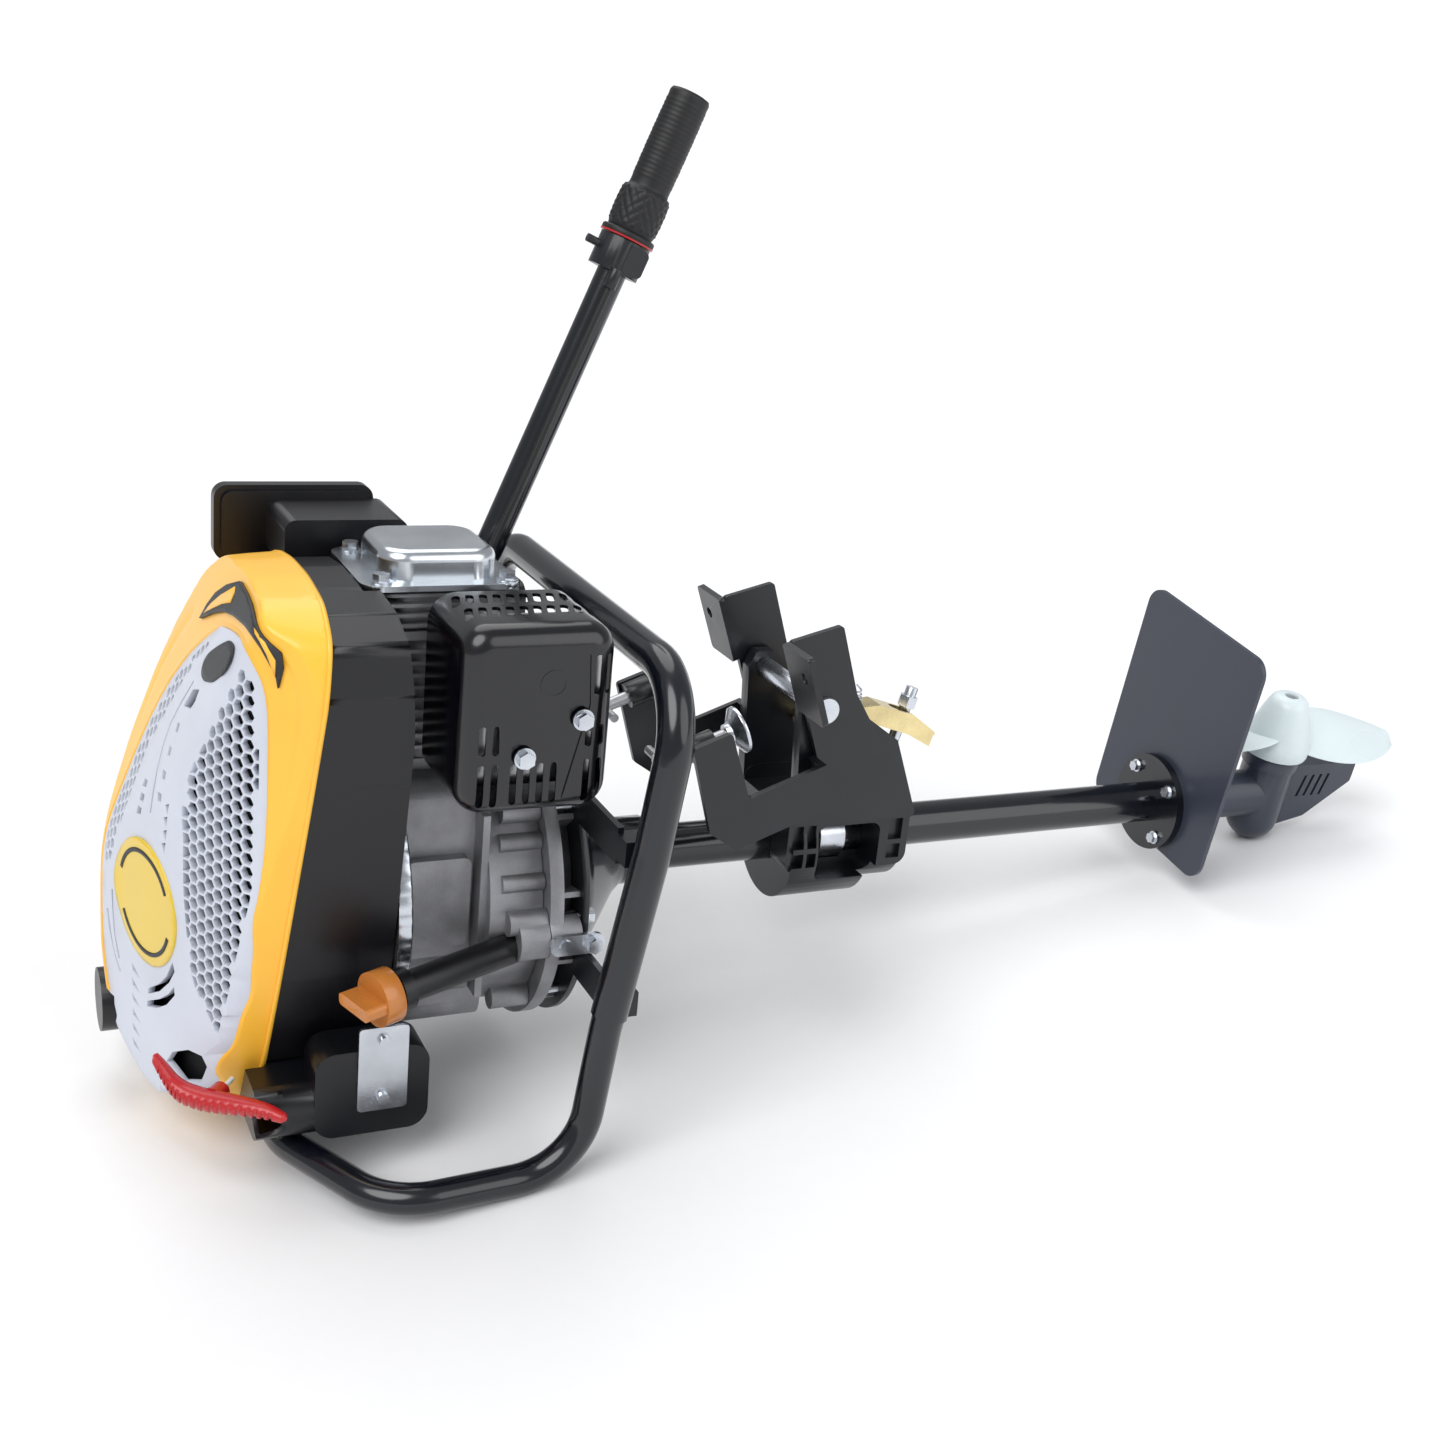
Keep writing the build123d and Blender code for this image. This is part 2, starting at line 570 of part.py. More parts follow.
def bearings():
    """Ball bearings as plain races: crankshaft, tube liners, pinion and propeller shaft."""
    rings = []
    for x in (-430, -250, -80):
        rings.append(pipe((x, 0, 0), (x + 12, 0, 0), TUBE_R - TUBE_WALL, 6 + FIT))
    rings.append(pipe((74, 0, 0), (86, 0, 0), 16, 6 + FIT))
    rings.append(lower(pipe((GEAR_X, 0, 20), (GEAR_X, 0, 32), 16, 6 + FIT)))
    rings.append(lower(pipe((GEAR_X, 0, -40), (GEAR_X, 0, -31), 15, 6 + FIT)))
    return Compound(children=[Compound(r.solids()) for r in rings])


# ---------------------------------------------------------------- drive tube and lower unit
def drive_tube():
    body = xrod(BELL_END - 5, 0, TUBE_R) + xrod(-7, 0, 42.4)
    body -= xrod(BELL_END - 6, 1, TUBE_R - TUBE_WALL)
    for a in (45, 135, 225, 315):
        y, z = 33 * cos(radians(a + LOWER_ROLL)), 33 * sin(radians(a + LOWER_ROLL))
        body -= xrod(-8, 1, 2.9, y, z)
    return body


def anti_ventilation_plate():
    plate = extrude(Plane.YZ * Pos(0, 69.5) * RectangleRounded(157.8, 211, 16), 4)
    plate -= xrod(-1, 5, 13)
    for a in (45, 135, 225, 315):
        plate -= xrod(-1, 5, 2.9, 33 * cos(radians(a)), 33 * sin(radians(a)))
    return lower(plate)


def gearcase():
    body = xrod(4.3, 12, 42.4) + xrod(12, GEAR_X, 21) + zrod(-24, 39, 23, GEAR_X, 0)
    body += Pos(GEAR_X, 0, -24) * Sphere(23)
    body += zrod(30, 41, 25, GEAR_X, 0)
    body -= xrod(0, GEAR_X, 16)
    body -= zrod(-31, 32, 18, GEAR_X, 0) + zrod(-40, 50, 8, GEAR_X, 0) + zrod(-40, -31, 15, GEAR_X, 0)
    body -= zrod(20, 32, 16, GEAR_X, 0)
    for a in (45, 135, 225, 315):
        body -= xrod(3, 13, 2.6, 33 * cos(radians(a)), 33 * sin(radians(a)))
    return lower(body)


def skeg():
    blade = xz_prism([(GEAR_X + 17, -34), (GEAR_X + 17, 30), (220, 28), (220, 8), (176, -26)], -9, 9, 3)
    blade -= zrod(-60, 60, 23.3, GEAR_X, 0)
    for i in range(4):
        x = 158 + 9 * i
        blade -= xz_prism([(x, -4), (x + 3, -4), (x + 7, 18), (x + 4, 18)], -12, 12)
    return lower(blade)


# ---------------------------------------------------------------- transom clamp
def clamp_frame(shape):
    """Place a clamp piece drawn in its own frame: x across the jaw, z up the jaw, pin at 0."""
    return Pos(PIN_X, 0, PIN_Z) * (Rot(0, -CLAMP_TILT, 0) * shape)


BAND_X0, BAND_X1 = -345.0, -323.0
LOCK_PIN = (-347.0, 88.0)


STOP_LINE = ((-285, 0, 48), (-266, 0, 120))


def swivel_bracket():
    """Cast bracket: a sleeve on the tube with two ribbed ears up to the tilt pin."""
    x0, x1 = -388, -280
    body = xrod(x0 + 4, -316, 48) + xrod(-316, x1, 38) + slab("y", x0, x1, -44, 44, -14, 46, 10)
    ear = xz_prism([(x0, 30), (x1, 30), (x1 - 26, 96), (PIN_X + 20, PIN_Z + 4), (PIN_X + 8, PIN_Z + 13),
                    (PIN_X - 8, PIN_Z + 13), (PIN_X - 14, PIN_Z)], 41, 52, 4)
    body += ear + mirrored(ear)
    body -= block(x0 - 1, x1 + 1, -40, 40, 34, 60)
    body -= xrod(x0 - 1, x1 + 1, TUBE_R + 0.3) + xrod(BAND_X0 - 0.5, BAND_X1 + 0.5, TUBE_R + 4)
    body -= slab("y", -362, -306, -60, -12, -22, 24, 8)
    body -= yrod(-60, 60, 6 + FIT, PIN_X, PIN_Z) + yrod(-60, 60, 5, *LOCK_PIN)
    for x, w in ((-384, 9), (-372, 8), (-298, 12)):
        for z0, z1 in ((-8, 4), (8, 26)):
            body -= block(x, x + w, -50, -39, z0, z1)
            body -= block(x, x + w, 39, 50, z0, z1)
    return body


def friction_band():
    """Spring steel band that drags on the tube, with its clamping ears below."""
    x0, x1 = BAND_X0, BAND_X1
    body = pipe((x0, 0, 0), (x1, 0, 0), TUBE_R + 3.2, TUBE_R + 0.35)
    return body - block(x0 - 1, x1 + 1, -4, 4, 0, 40)


def lock_lever():
    """Curved steel channel that hooks the clamp; it turns on its own cross pin."""
    arc = [(-366, 96), (-336, 108), (-300, 110), (-268, 100), (-246, 84)]
    low = [(-250, 72), (-272, 84), (-300, 93), (-334, 91), (-360, 78)]
    side = xz_prism(arc + low, 8, 11)
    web = xz_prism(arc + [(x + 0.6, z - 3) for x, z in reversed(arc)], -11, 11)
    body = side + mirrored(side) + web
    for slide in (0, -2.5, -5, -7.5):
        body -= Pos(slide, 0, 0) * rod(*STOP_LINE, 7.5)
    return body + yrod(-53.5, 53.5, 4.95, *LOCK_PIN)


def stop_bolt():
    """Threaded stud through the bracket's nose, with a nut above and its head below."""
    foot, tip = Vector(*STOP_LINE[0]), Vector(*STOP_LINE[1])
    d = (tip - foot).normalized()
    return rod(foot, tip, 5) + hexagon(foot + d * 58, d, 14, 9) + hexagon(foot, d, 16, 8)


def lever_spring():
    """Extension spring from the clamp plate down to the lever, as its plain outer shape."""
    y = -34
    body = rod((-334, y, 102), (-338, y, 136), 4.5)
    return body


def clamp_plates():
    main = xz_prism([(-14, 62), (30, 58), (29, 0), (42, -54), (-14, -66)], PLATE_Y, PLATE_Y + SHEET, 3)
    main -= yrod(40, 80, 6 + FIT, 0, 0)
    flange = slab("x", -14 - SHEET, -14, PLATE_Y, PLATE_Y + 42, 6, 62, 3)
    flange -= xrod(-24, -8, 4.5, PLATE_Y + 28, 42)
    step = block(-14 - SHEET, -14, PLATE_Y, LEG_Y + SHEET, -70, -36)
    right = -14 - JAW_GAP
    leg = xz_prism([(-14, -36), (right, -36), (right, 20), (right - 32, 20), (right - 36, -50),
                    (right - 20, -72), (-14, -72)], LEG_Y, LEG_Y + SHEET, 3)
    boss = rod((right - 30, SCREW_Y + 2, SCREW_Z), (right - 11, SCREW_Y + 2, SCREW_Z), 10)
    boss += block(right - 30, right - 11, SCREW_Y + 2, LEG_Y + 1, SCREW_Z - 8, SCREW_Z + 7)
    boss -= rod((right - 40, SCREW_Y, SCREW_Z), (right + 4, SCREW_Y, SCREW_Z), 5 + FIT)
    near = clamp_frame(main + flange + step + leg + boss)
    return Compound(children=[Compound(mirrored(near).solids()), Compound(near.solids())])


def tilt_pin():
    body = yrod(-66, 66, 6, PIN_X, PIN_Z) + yrod(-66.5, -PLATE_Y - SHEET - 0.3, 10, PIN_X, PIN_Z)
    body += yrod(PLATE_Y + SHEET + 0.3, 66.5, 10, PIN_X, PIN_Z)
    return body + pipe((PIN_X, -40.5, PIN_Z), (PIN_X, 40.5, PIN_Z), 8, 5.9)


def clamp_screw(side):
    """Screw with its sliding cross handle, drawn part way along its travel."""
    x, y, z = -14 - JAW_GAP - SCREW_OUT, side * SCREW_Y, SCREW_Z
    body = rod((x - 52, y, z), (x + 6, y, z), 5) + rod((x - 50, y, z), (x - 42, y, z), 8)
    return clamp_frame(body + rod((x - 46, y - 26, z), (x - 46, y + 26, z), 3.4))


def clamp_pad(side):
    base = (Align.CENTER, Align.CENTER, Align.MIN)
    face = Plane(origin=(-14 - JAW_GAP - SCREW_OUT + 6.2, side * SCREW_Y, SCREW_Z), z_dir=(1, 0, 0))
    body = Cylinder(8, 4, align=base) + Pos(0, 0, 3.9) * Cone(9, 18, 6, align=base)
    return clamp_frame(face * (body + Pos(0, 0, 9.8) * Cylinder(18, 2.4, align=base)))


# ---------------------------------------------------------------- tiller
def tiller_frame(shape):
    """Place a tiller piece drawn upright with its hinge at the origin."""
    return Pos(TILLER_X, TILLER_Y, TILLER_Z) * (Rot(0, TILLER_LEAN, 0) * shape)


def tiller_bracket():
    x = TILLER_X
    cheek = xz_prism([(x - 13, 186), (SUMP_BACK, 176), (SUMP_BACK, 200), (x + 4, 217), (x - 10, 214)],
                     TILLER_Y + 11.5, TILLER_Y + 15)
    other = Pos(0, -26.5, 0) * cheek
    web = block(SUMP_BACK - 3.6, SUMP_BACK + 0.1, TILLER_Y - 15, TILLER_Y + 15, 160, 196)
    body = cheek + other + web
    body += yrod(TILLER_Y - 18, TILLER_Y - 11.7, 7, x, TILLER_Z)
    body += yrod(TILLER_Y + 11.7, TILLER_Y + 18, 7, x, TILLER_Z)
    return body + yrod(TILLER_Y - 15, TILLER_Y + 15, 4, x, TILLER_Z)


def tiller_tube():
    body = pipe((0, 0, -8), (0, 0, 368), TILLER_R, TILLER_R - 2) + rod((0, 0, -11), (0, 0, 16), 10.9)
    return tiller_frame(body - yrod(-20, 20, 4 + FIT, 0, 0))


def throttle_housing():
    body = rod((0, 0, 238), (0, 0, 262), 19)
    body += slab("y", -2, 14, -19, 19, 240, 260, 4)
    body -= rod((0, 0, 230), (0, 0, 300), TILLER_R)
    body += rod((-4, -17, 226), (-4, -17, 240), 4.5)
    return tiller_frame(body + rod((-28, 0, 252), (-15, 0, 252), 3))


def throttle_grip():
    body = (rod((0, 0, 262.6), (0, 0, 268), 20) + rod((0, 0, 267.9), (0, 0, 300), 17.5)
            + rod((0, 0, 299.9), (0, 0, 374), 15.5))
    return tiller_frame(body - rod((0, 0, 260), (0, 0, 370), TILLER_R + FIT))


def throttle_cable():
    """Cable from the twist grip down the tube and across the hinge to the carburettor."""
    along_tube = [(-4, -17, 225.8), (-5, -18, 150), (-6, -22, 70), (-8, -24, 10)]
    frame = Location((TILLER_X, TILLER_Y, TILLER_Z)) * Location((0, 0, 0), (0, TILLER_LEAN, 0))
    route = [(frame * Location(p)).position for p in along_tube]
    route += [(-634, 56, 193), (-656, 74, 196)]
    path = FilletPolyline(*route, radius=[300, 250, 24, 14])
    return sweep(Plane(origin=path @ 0, z_dir=path % 0) * Circle(2.5), path=path)


# ---------------------------------------------------------------- recoil starter
def starter_handle():
    c, along, out = Vector(*HANDLE_AT), Vector(*HANDLE_ALONG).normalized(), Vector(*PULL).normalized()
    return rod(c - along * 54, c + along * 54, 8) + rod(c, c - out * 16, 6)


def starter_rope():
    c, out = Vector(*HANDLE_AT), Vector(*PULL).normalized()
    return rod(c - out * 16.2, c - out * 30, 1.8)


# ---------------------------------------------------------------- write the pieces
NODES = {
    "crankcase": crankcase, "cylinder_head": cylinder_head, "rocker_cover": rocker_cover,
    "flange_bolts": flange_bolts, "sump": sump, "blower_housing": blower_housing,
    "top_shroud": top_shroud, "shroud_grille": shroud_grille, "muffler_body": muffler_body,
    "muffler_guard": muffler_guard, "air_cleaner_case": air_cleaner_case,
    "air_cleaner_lid": air_cleaner_lid, "air_filter": air_filter, "carburettor": carburettor,
    "fuel_tank": fuel_tank, "fuel_cap": fuel_cap, "oil_filler_tube": oil_filler_tube,
    "oil_filler_cap": oil_filler_cap, "filler_clamp": filler_clamp, "tank_bracket": tank_bracket,
    "spark_plug": spark_plug, "plug_lead": plug_lead, "piston": piston,
    "mounting_plate": mounting_plate, "upper_hoop": upper_hoop, "lower_loop": lower_loop,
    "clutch_bell": clutch_bell, "drive_tube": drive_tube,
    "anti_ventilation_plate": anti_ventilation_plate, "gearcase": gearcase, "skeg": skeg,
    "bearings": bearings, "crankshaft": crankshaft, "flywheel": flywheel,
    "clutch_shoes": clutch_shoes, "clutch_drum": clutch_drum, "drive_shaft": drive_shaft,
    "pinion": pinion, "prop_shaft": prop_shaft, "bevel_gear": bevel_gear, "propeller": propeller,
    "starter_handle": starter_handle, "starter_rope": starter_rope, "starter_reel": starter_reel,
    "tiller_bracket": tiller_bracket, "tiller_tube": tiller_tube,
    "throttle_housing": throttle_housing, "throttle_grip": throttle_grip,
    "throttle_cable": throttle_cable, "swivel_bracket": swivel_bracket,
    "friction_band": friction_band, "lock_lever": lock_lever, "stop_bolt": stop_bolt,
    "lever_spring": lever_spring, "clamp_plates": clamp_plates, "tilt_pin": tilt_pin,
    "clamp_screw_near": lambda: clamp_screw(-1), "clamp_screw_far": lambda: clamp_screw(1),
    "clamp_pad_near": lambda: clamp_pad(-1), "clamp_pad_far": lambda: clamp_pad(1),
}

lying = Pos(*GROUND_SHIFT) * Rot(0, LYING_PITCH, 0)
for name, make in NODES.items():
    solids = make().solids()
    piece = solids[0] if len(solids) == 1 else Compound(children=solids)
    export_step(lying * piece, f"parts/{name}.step")
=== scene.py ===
import bpy
import bmesh
import json
import numpy as np
from math import cos, pi, radians, sin
from mathutils import Matrix, Vector
from mathutils.geometry import delaunay_2d_cdt


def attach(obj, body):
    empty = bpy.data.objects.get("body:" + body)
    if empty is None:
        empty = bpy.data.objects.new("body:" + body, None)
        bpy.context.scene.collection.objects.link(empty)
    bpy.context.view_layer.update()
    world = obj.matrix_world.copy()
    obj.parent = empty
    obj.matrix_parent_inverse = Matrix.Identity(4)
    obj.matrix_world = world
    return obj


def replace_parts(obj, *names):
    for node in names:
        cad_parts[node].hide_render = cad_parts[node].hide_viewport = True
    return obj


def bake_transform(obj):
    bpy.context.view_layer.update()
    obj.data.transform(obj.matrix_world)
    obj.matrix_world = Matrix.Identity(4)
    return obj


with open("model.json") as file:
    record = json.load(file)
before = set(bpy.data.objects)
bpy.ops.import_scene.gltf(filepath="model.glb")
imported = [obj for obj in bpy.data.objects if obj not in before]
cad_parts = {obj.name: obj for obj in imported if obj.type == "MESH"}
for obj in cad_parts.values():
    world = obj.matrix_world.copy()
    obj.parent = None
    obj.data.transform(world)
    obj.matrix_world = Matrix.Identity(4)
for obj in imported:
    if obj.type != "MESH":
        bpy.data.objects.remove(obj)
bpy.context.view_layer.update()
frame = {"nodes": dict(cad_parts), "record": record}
nodes = frame["nodes"]

# The motor is drawn in millimetres along its shaft, as the CAD is: x runs to the propeller, z the way
# the cylinder does, and the muffler is on the -y side. PLACE lays it on the ground, in metres.
MM = 0.001
PITCH = radians(8.26)
PLACE = (Matrix.Translation((0.32475, 0, 0.06394)) @ Matrix.Rotation(PITCH, 4, "Y")
         @ Matrix.Scale(MM, 4))
MOTOR = "motor"


# ---------------------------------------------------------------- materials
BUMP_HEIGHT = 0.0006        # metres
TONE_MIX = 0.7              # how strongly the fine grain darkens the colour
SUBSURFACE = (0.01, 0.01, 0.01)


def link(tree, a, out, b, inp):
    tree.links.new(a.outputs[out], b.inputs[inp])


def noise_node(tree, scale, detail=4.0, stretch=(1, 1, 1)):
    coord = tree.nodes.new("ShaderNodeTexCoord")
    mapping = tree.nodes.new("ShaderNodeMapping")
    mapping.inputs["Scale"].default_value = stretch
    tex = tree.nodes.new("ShaderNodeTexNoise")
    tex.inputs["Scale"].default_value = scale
    tex.inputs["Detail"].default_value = detail
    link(tree, coord, "Object", mapping, "Vector")
    link(tree, mapping, "Vector", tex, "Vector")
    return tex


def ramp_node(tree, source, stops):
    ramp = tree.nodes.new("ShaderNodeValToRGB")
    while len(ramp.color_ramp.elements) < len(stops):
        ramp.color_ramp.elements.new(0.5)
    for e, (at, colour) in zip(ramp.color_ramp.elements, stops):
        e.position = at
        e.color = (*colour, 1)
    link(tree, source, "Fac", ramp, "Fac")
    return ramp


def scaled(colour, k):
    return tuple(min(1.0, c * k) for c in colour)


def finish(name, colour, rough=0.4, metal=0.0, coat=0.0, vary=0.12, patch=14, grain=900, bump=0.05,
           rough_vary=0.08, sub=0.0, stretch=(1, 1, 1), coat_rough=0.08, specular=0.5):
    """A surface with uneven colour and gloss and a fine grain; sizes are cycles per metre."""
    mat = bpy.data.materials.new(name)
    mat.use_nodes = True
    tree = mat.node_tree
    bsdf = tree.nodes["Principled BSDF"]
    big = noise_node(tree, patch, 5)
    fine = noise_node(tree, grain, 3, stretch)
    tone = ramp_node(tree, big, [(0.3, scaled(colour, 1 - vary)), (0.7, scaled(colour, 1 + vary))])
    speck = ramp_node(tree, fine, [(0.25, (1 - vary,) * 3), (0.75, (1.0,) * 3)])
    mix = tree.nodes.new("ShaderNodeMix")
    mix.data_type, mix.blend_type = "RGBA", "MULTIPLY"
    mix.inputs["Factor"].default_value = TONE_MIX
    tree.links.new(tone.outputs["Color"], mix.inputs[6])
    tree.links.new(speck.outputs["Color"], mix.inputs[7])
    tree.links.new(mix.outputs[2], bsdf.inputs["Base Color"])
    gloss = tree.nodes.new("ShaderNodeMapRange")
    gloss.inputs["To Min"].default_value = max(0.02, rough - rough_vary)
    gloss.inputs["To Max"].default_value = rough + rough_vary
    link(tree, big, "Fac", gloss, "Value")
    link(tree, gloss, "Result", bsdf, "Roughness")
    if bump:
        b = tree.nodes.new("ShaderNodeBump")
        b.inputs["Strength"].default_value = bump
        b.inputs["Distance"].default_value = BUMP_HEIGHT
        link(tree, fine, "Fac", b, "Height")
        link(tree, b, "Normal", bsdf, "Normal")
    bsdf.inputs["Metallic"].default_value = metal
    bsdf.inputs["Coat Weight"].default_value = coat
    bsdf.inputs["Coat Roughness"].default_value = coat_rough
    bsdf.inputs["Specular IOR Level"].default_value = specular
    if sub:
        bsdf.inputs["Subsurface Weight"].default_value = sub
        bsdf.inputs["Subsurface Radius"].default_value = SUBSURFACE
    return mat


MATS = {
    "cast_aluminium": finish("cast_aluminium", (0.34, 0.34, 0.36), 0.46, 0.75, vary=0.25, patch=30, grain=1400,
                             bump=0.55),
    "pressed_steel": finish("pressed_steel", (0.66, 0.70, 0.74), 0.24, 1.0, vary=0.06, patch=25, grain=500,
                            bump=0.04),
    "zinc": finish("zinc", (0.64, 0.67, 0.72), 0.26, 1.0, vary=0.10, patch=60, grain=900, bump=0.05),
    "black_paint": finish("black_paint", (0.003, 0.004, 0.008), 0.2, coat=0.4, vary=0.2, grain=350, bump=0.03,
                          rough_vary=0.05),
    "bracket_paint": finish("bracket_paint", (0.006, 0.007, 0.010), 0.34, coat=0.1, vary=0.25, patch=22,
                            grain=1300, bump=0.10),
    "guard_enamel": finish("guard_enamel", (0.002, 0.002, 0.004), 0.22, coat=0.3, vary=0.25, grain=500,
                           bump=0.03),
    "black_plastic": finish("black_plastic", (0.003, 0.003, 0.005), 0.36, vary=0.2, patch=18, grain=2200,
                            bump=0.12),
    "yellow_plastic": finish("yellow_plastic", (1.0, 0.52, 0.045), 0.36, coat=0.2, vary=0.03, grain=1500,
                             bump=0.03),
    "grey_plastic": finish("grey_plastic", (0.60, 0.63, 0.71), 0.40, vary=0.04, grain=1500, bump=0.04),
    "orange_plastic": finish("orange_plastic", (0.54, 0.19, 0.035), 0.28, coat=0.3, vary=0.06, grain=800,
                             bump=0.03),
    "red_plastic": finish("red_plastic", (0.46, 0.012, 0.016), 0.3, coat=0.2, vary=0.08, grain=900, bump=0.04),
    "tank_plastic": finish("tank_plastic", (0.004, 0.0045, 0.007), 0.34, vary=0.2, patch=12, grain=1200,
                           bump=0.08),
    "lower_paint": finish("lower_paint", (0.034, 0.041, 0.062), 0.34, coat=0.1, vary=0.08, patch=16, grain=1500,
                          bump=0.06),
    "nylon": finish("nylon", (0.66, 0.74, 0.76), 0.3, vary=0.04, patch=10, grain=500, bump=0.02, sub=0.35),
    "steel": finish("steel", (0.5, 0.5, 0.52), 0.32, 1.0, vary=0.15, patch=40, grain=700, bump=0.06,
                    stretch=(1, 6, 6)),
    "yellow_zinc": finish("yellow_zinc", (0.82, 0.68, 0.36), 0.3, 1.0, vary=0.16, patch=35, grain=600,
                          bump=0.04),
    "rubber": finish("rubber", (0.004, 0.004, 0.005), 0.5, vary=0.25, grain=1800, bump=0.15),
    "foam": finish("foam", (0.05, 0.05, 0.055), 0.95, vary=0.3, grain=1500, bump=0.8),
}
BADGE_YELLOW = finish("badge_yellow", (0.78, 0.54, 0.03), 0.3, coat=0.3, vary=0.04, grain=700, bump=0.02)
STICKER_DARK = finish("sticker_dark", (0.022, 0.024, 0.028), 0.5, vary=0.3, patch=60, grain=2600, bump=0.2)
# Painted shade: a near-black, dull material for the dark inside of the cover behind its openings.
PAINTED_SHADE_BLACK = finish("painted_shade_black", (0.004, 0.004, 0.005), 0.7, vary=0.2, grain=1500, bump=0.3, specular=0.2)

# Edge rounding of the CAD nodes, mm.
ROUNDED = {"crankcase": 1.6, "sump": 1.2, "cylinder_head": 0.7, "rocker_cover": 1.5, "blower_housing": 2.0,
           "fuel_tank": 1.2, "mounting_plate": 0.8, "clamp_plates": 0.8, "swivel_bracket": 1.6,
           "lock_lever": 0.6, "anti_ventilation_plate": 0.8, "gearcase": 1.2, "skeg": 1.2,
           "air_cleaner_case": 1.0, "flange_bolts": 0.35, "oil_filler_cap": 1.2, "fuel_cap": 1.5,
           "clutch_bell": 1.0, "throttle_housing": 0.8, "tiller_bracket": 0.6, "stop_bolt": 0.4,
           "tilt_pin": 0.6, "tank_bracket": 0.5, "clamp_pad_near": 0.5, "clamp_pad_far": 0.5}
slot_of = {s["node"]: s["material_slot"] for s in frame["record"]["subparts"]}
for name, obj in nodes.items():
    obj.data.materials.clear()
    obj.data.materials.append(MATS[slot_of[name]])
    if name in ROUNDED:
        weld = obj.modifiers.new("weld", "WELD")
        weld.merge_threshold = 1e-5
        bevel = obj.modifiers.new("edge", "BEVEL")
        bevel.width = ROUNDED[name] * MM
        bevel.segments = 2
        bevel.limit_method = "ANGLE"
        bevel.angle_limit = radians(38)
        bevel.harden_normals = True


# ---------------------------------------------------------------- mesh helpers
def piece(name, verts, faces, material, body=MOTOR, smooth=True, solid=0.0, bevel=0.0, angle=40):
    """A mesh object from points in mm in the motor's frame, riding on one body.

    solid is the thickness of a sheet and bevel the rounding of its edges, both in mm; angle is the
    corner above which an edge is shaded sharp.
    """
    me = bpy.data.meshes.new(name)
    me.from_pydata([PLACE @ Vector(v) for v in verts], [], [tuple(f) for f in faces])
    bm = bmesh.new()
    bm.from_mesh(me)
    bmesh.ops.remove_doubles(bm, verts=bm.verts, dist=1e-6)
    bmesh.ops.recalc_face_normals(bm, faces=bm.faces)
    bm.to_mesh(me)
    bm.free()
    me.materials.append(material)
    obj = bpy.data.objects.new(name, me)
    bpy.context.scene.collection.objects.link(obj)
    if smooth:
        me.shade_smooth()
        me.set_sharp_from_angle(angle=radians(angle))
    if solid:
        m = obj.modifiers.new("thickness", "SOLIDIFY")
        m.thickness = solid * MM
        m.offset = -1
        m.use_even_offset = False
    if bevel:
        m = obj.modifiers.new("edge", "BEVEL")
        m.width, m.segments, m.limit_method = bevel * MM, 2, "ANGLE"
    if body:
        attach(obj, body)
    return obj


def grid_faces(rows, cols, closed=True):
    """Quads over a rows x cols grid of points, wrapped across the columns when closed."""
    span = cols if closed else cols - 1
    return [(i * cols + j, i * cols + (j + 1) % cols, (i + 1) * cols + (j + 1) % cols, (i + 1) * cols + j)
            for i in range(rows - 1) for j in range(span)]


def capped(rings):
    """Vertices and faces of a tube of equal rings with flat ends."""
    n = len(rings[0])
    verts = [v for ring in rings for v in ring]
    faces = grid_faces(len(rings), n)
    return verts, faces + [tuple(range(n)), tuple(range((len(rings) - 1) * n, len(rings) * n))]


def axes_for(direction):
    """A direction and two more square to it, all of unit length."""
    d = Vector(direction).normalized()
    u = d.cross(Vector((0, 0, 1)) if abs(d.z) < 0.9 else Vector((1, 0, 0))).normalized()
    return d, u, d.cross(u)


def lathe(name, origin, direction, profile, material, body=MOTOR, n=64, wave=None, **kw):
    """A turned shape: profile is (along, radius) pairs in mm; wave(along, angle) adds to the radius."""
    d, u, v = axes_for(direction)
    rings = []
    for s, r in profile:
        ring = []
        for k in range(n):
            a = 2 * pi * k / n
            rr = r + (wave(s, a) if wave else 0)
            ring.append(Vector(origin) + d * s + (u * cos(a) + v * sin(a)) * max(rr, 0.01))
        rings.append(ring)
    return piece(name, *capped(rings), material, body, **kw)


def tube(name, points, radius, material, body=MOTOR, n=12, **kw):
    """A round bar along a list of points."""
    pts = [Vector(p) for p in points]
    rings, up = [], None
    for i, p in enumerate(pts):
        d = (pts[min(i + 1, len(pts) - 1)] - pts[max(i - 1, 0)]).normalized()
        if up is None:
            up = axes_for(d)[1]
        up = (up - d * up.dot(d)).normalized()
        side = d.cross(up)
        rings.append([p + (up * cos(2 * pi * k / n) + side * sin(2 * pi * k / n)) * radius for k in range(n)])
    return piece(name, *capped(rings), material, body, **kw)


# ---------------------------------------------------------------- engine cover
# The face is a profile along z and a plan along y; the outlines at the rim and at the front are
# half widths against z, down the near side and down the far side.
FACE = ((-856, -166), (-878, -135), (-884, -90), (-882, -20), (-859, 60), (-829, 150), (-799, 241))
PLAN = ((-772, -133), (-806, -104), (-834, -62), (-853, -8), (-867, 40), (-880, 84), (-862, 116), (-808, 133))
RIM_NEAR = ((0, 237), (48, 238), (96, 233), (127, 216), (134, 180), (124, 118), (106, 22), (96, -30),
            (80, -100), (56, -140), (0, -158))
RIM_FAR = ((0, 237), (40, 232), (76, 216), (104, 184), (122, 148), (124, 75), (110, 0), (92, -60), (70, -112),
           (44, -146), (0, -158))
FRONT_NEAR = ((0, 236), (40, 236), (88, 229), (118, 204), (124, 146), (110, 64), (96, 4), (86, -46),
              (70, -106), (42, -146), (0, -162))
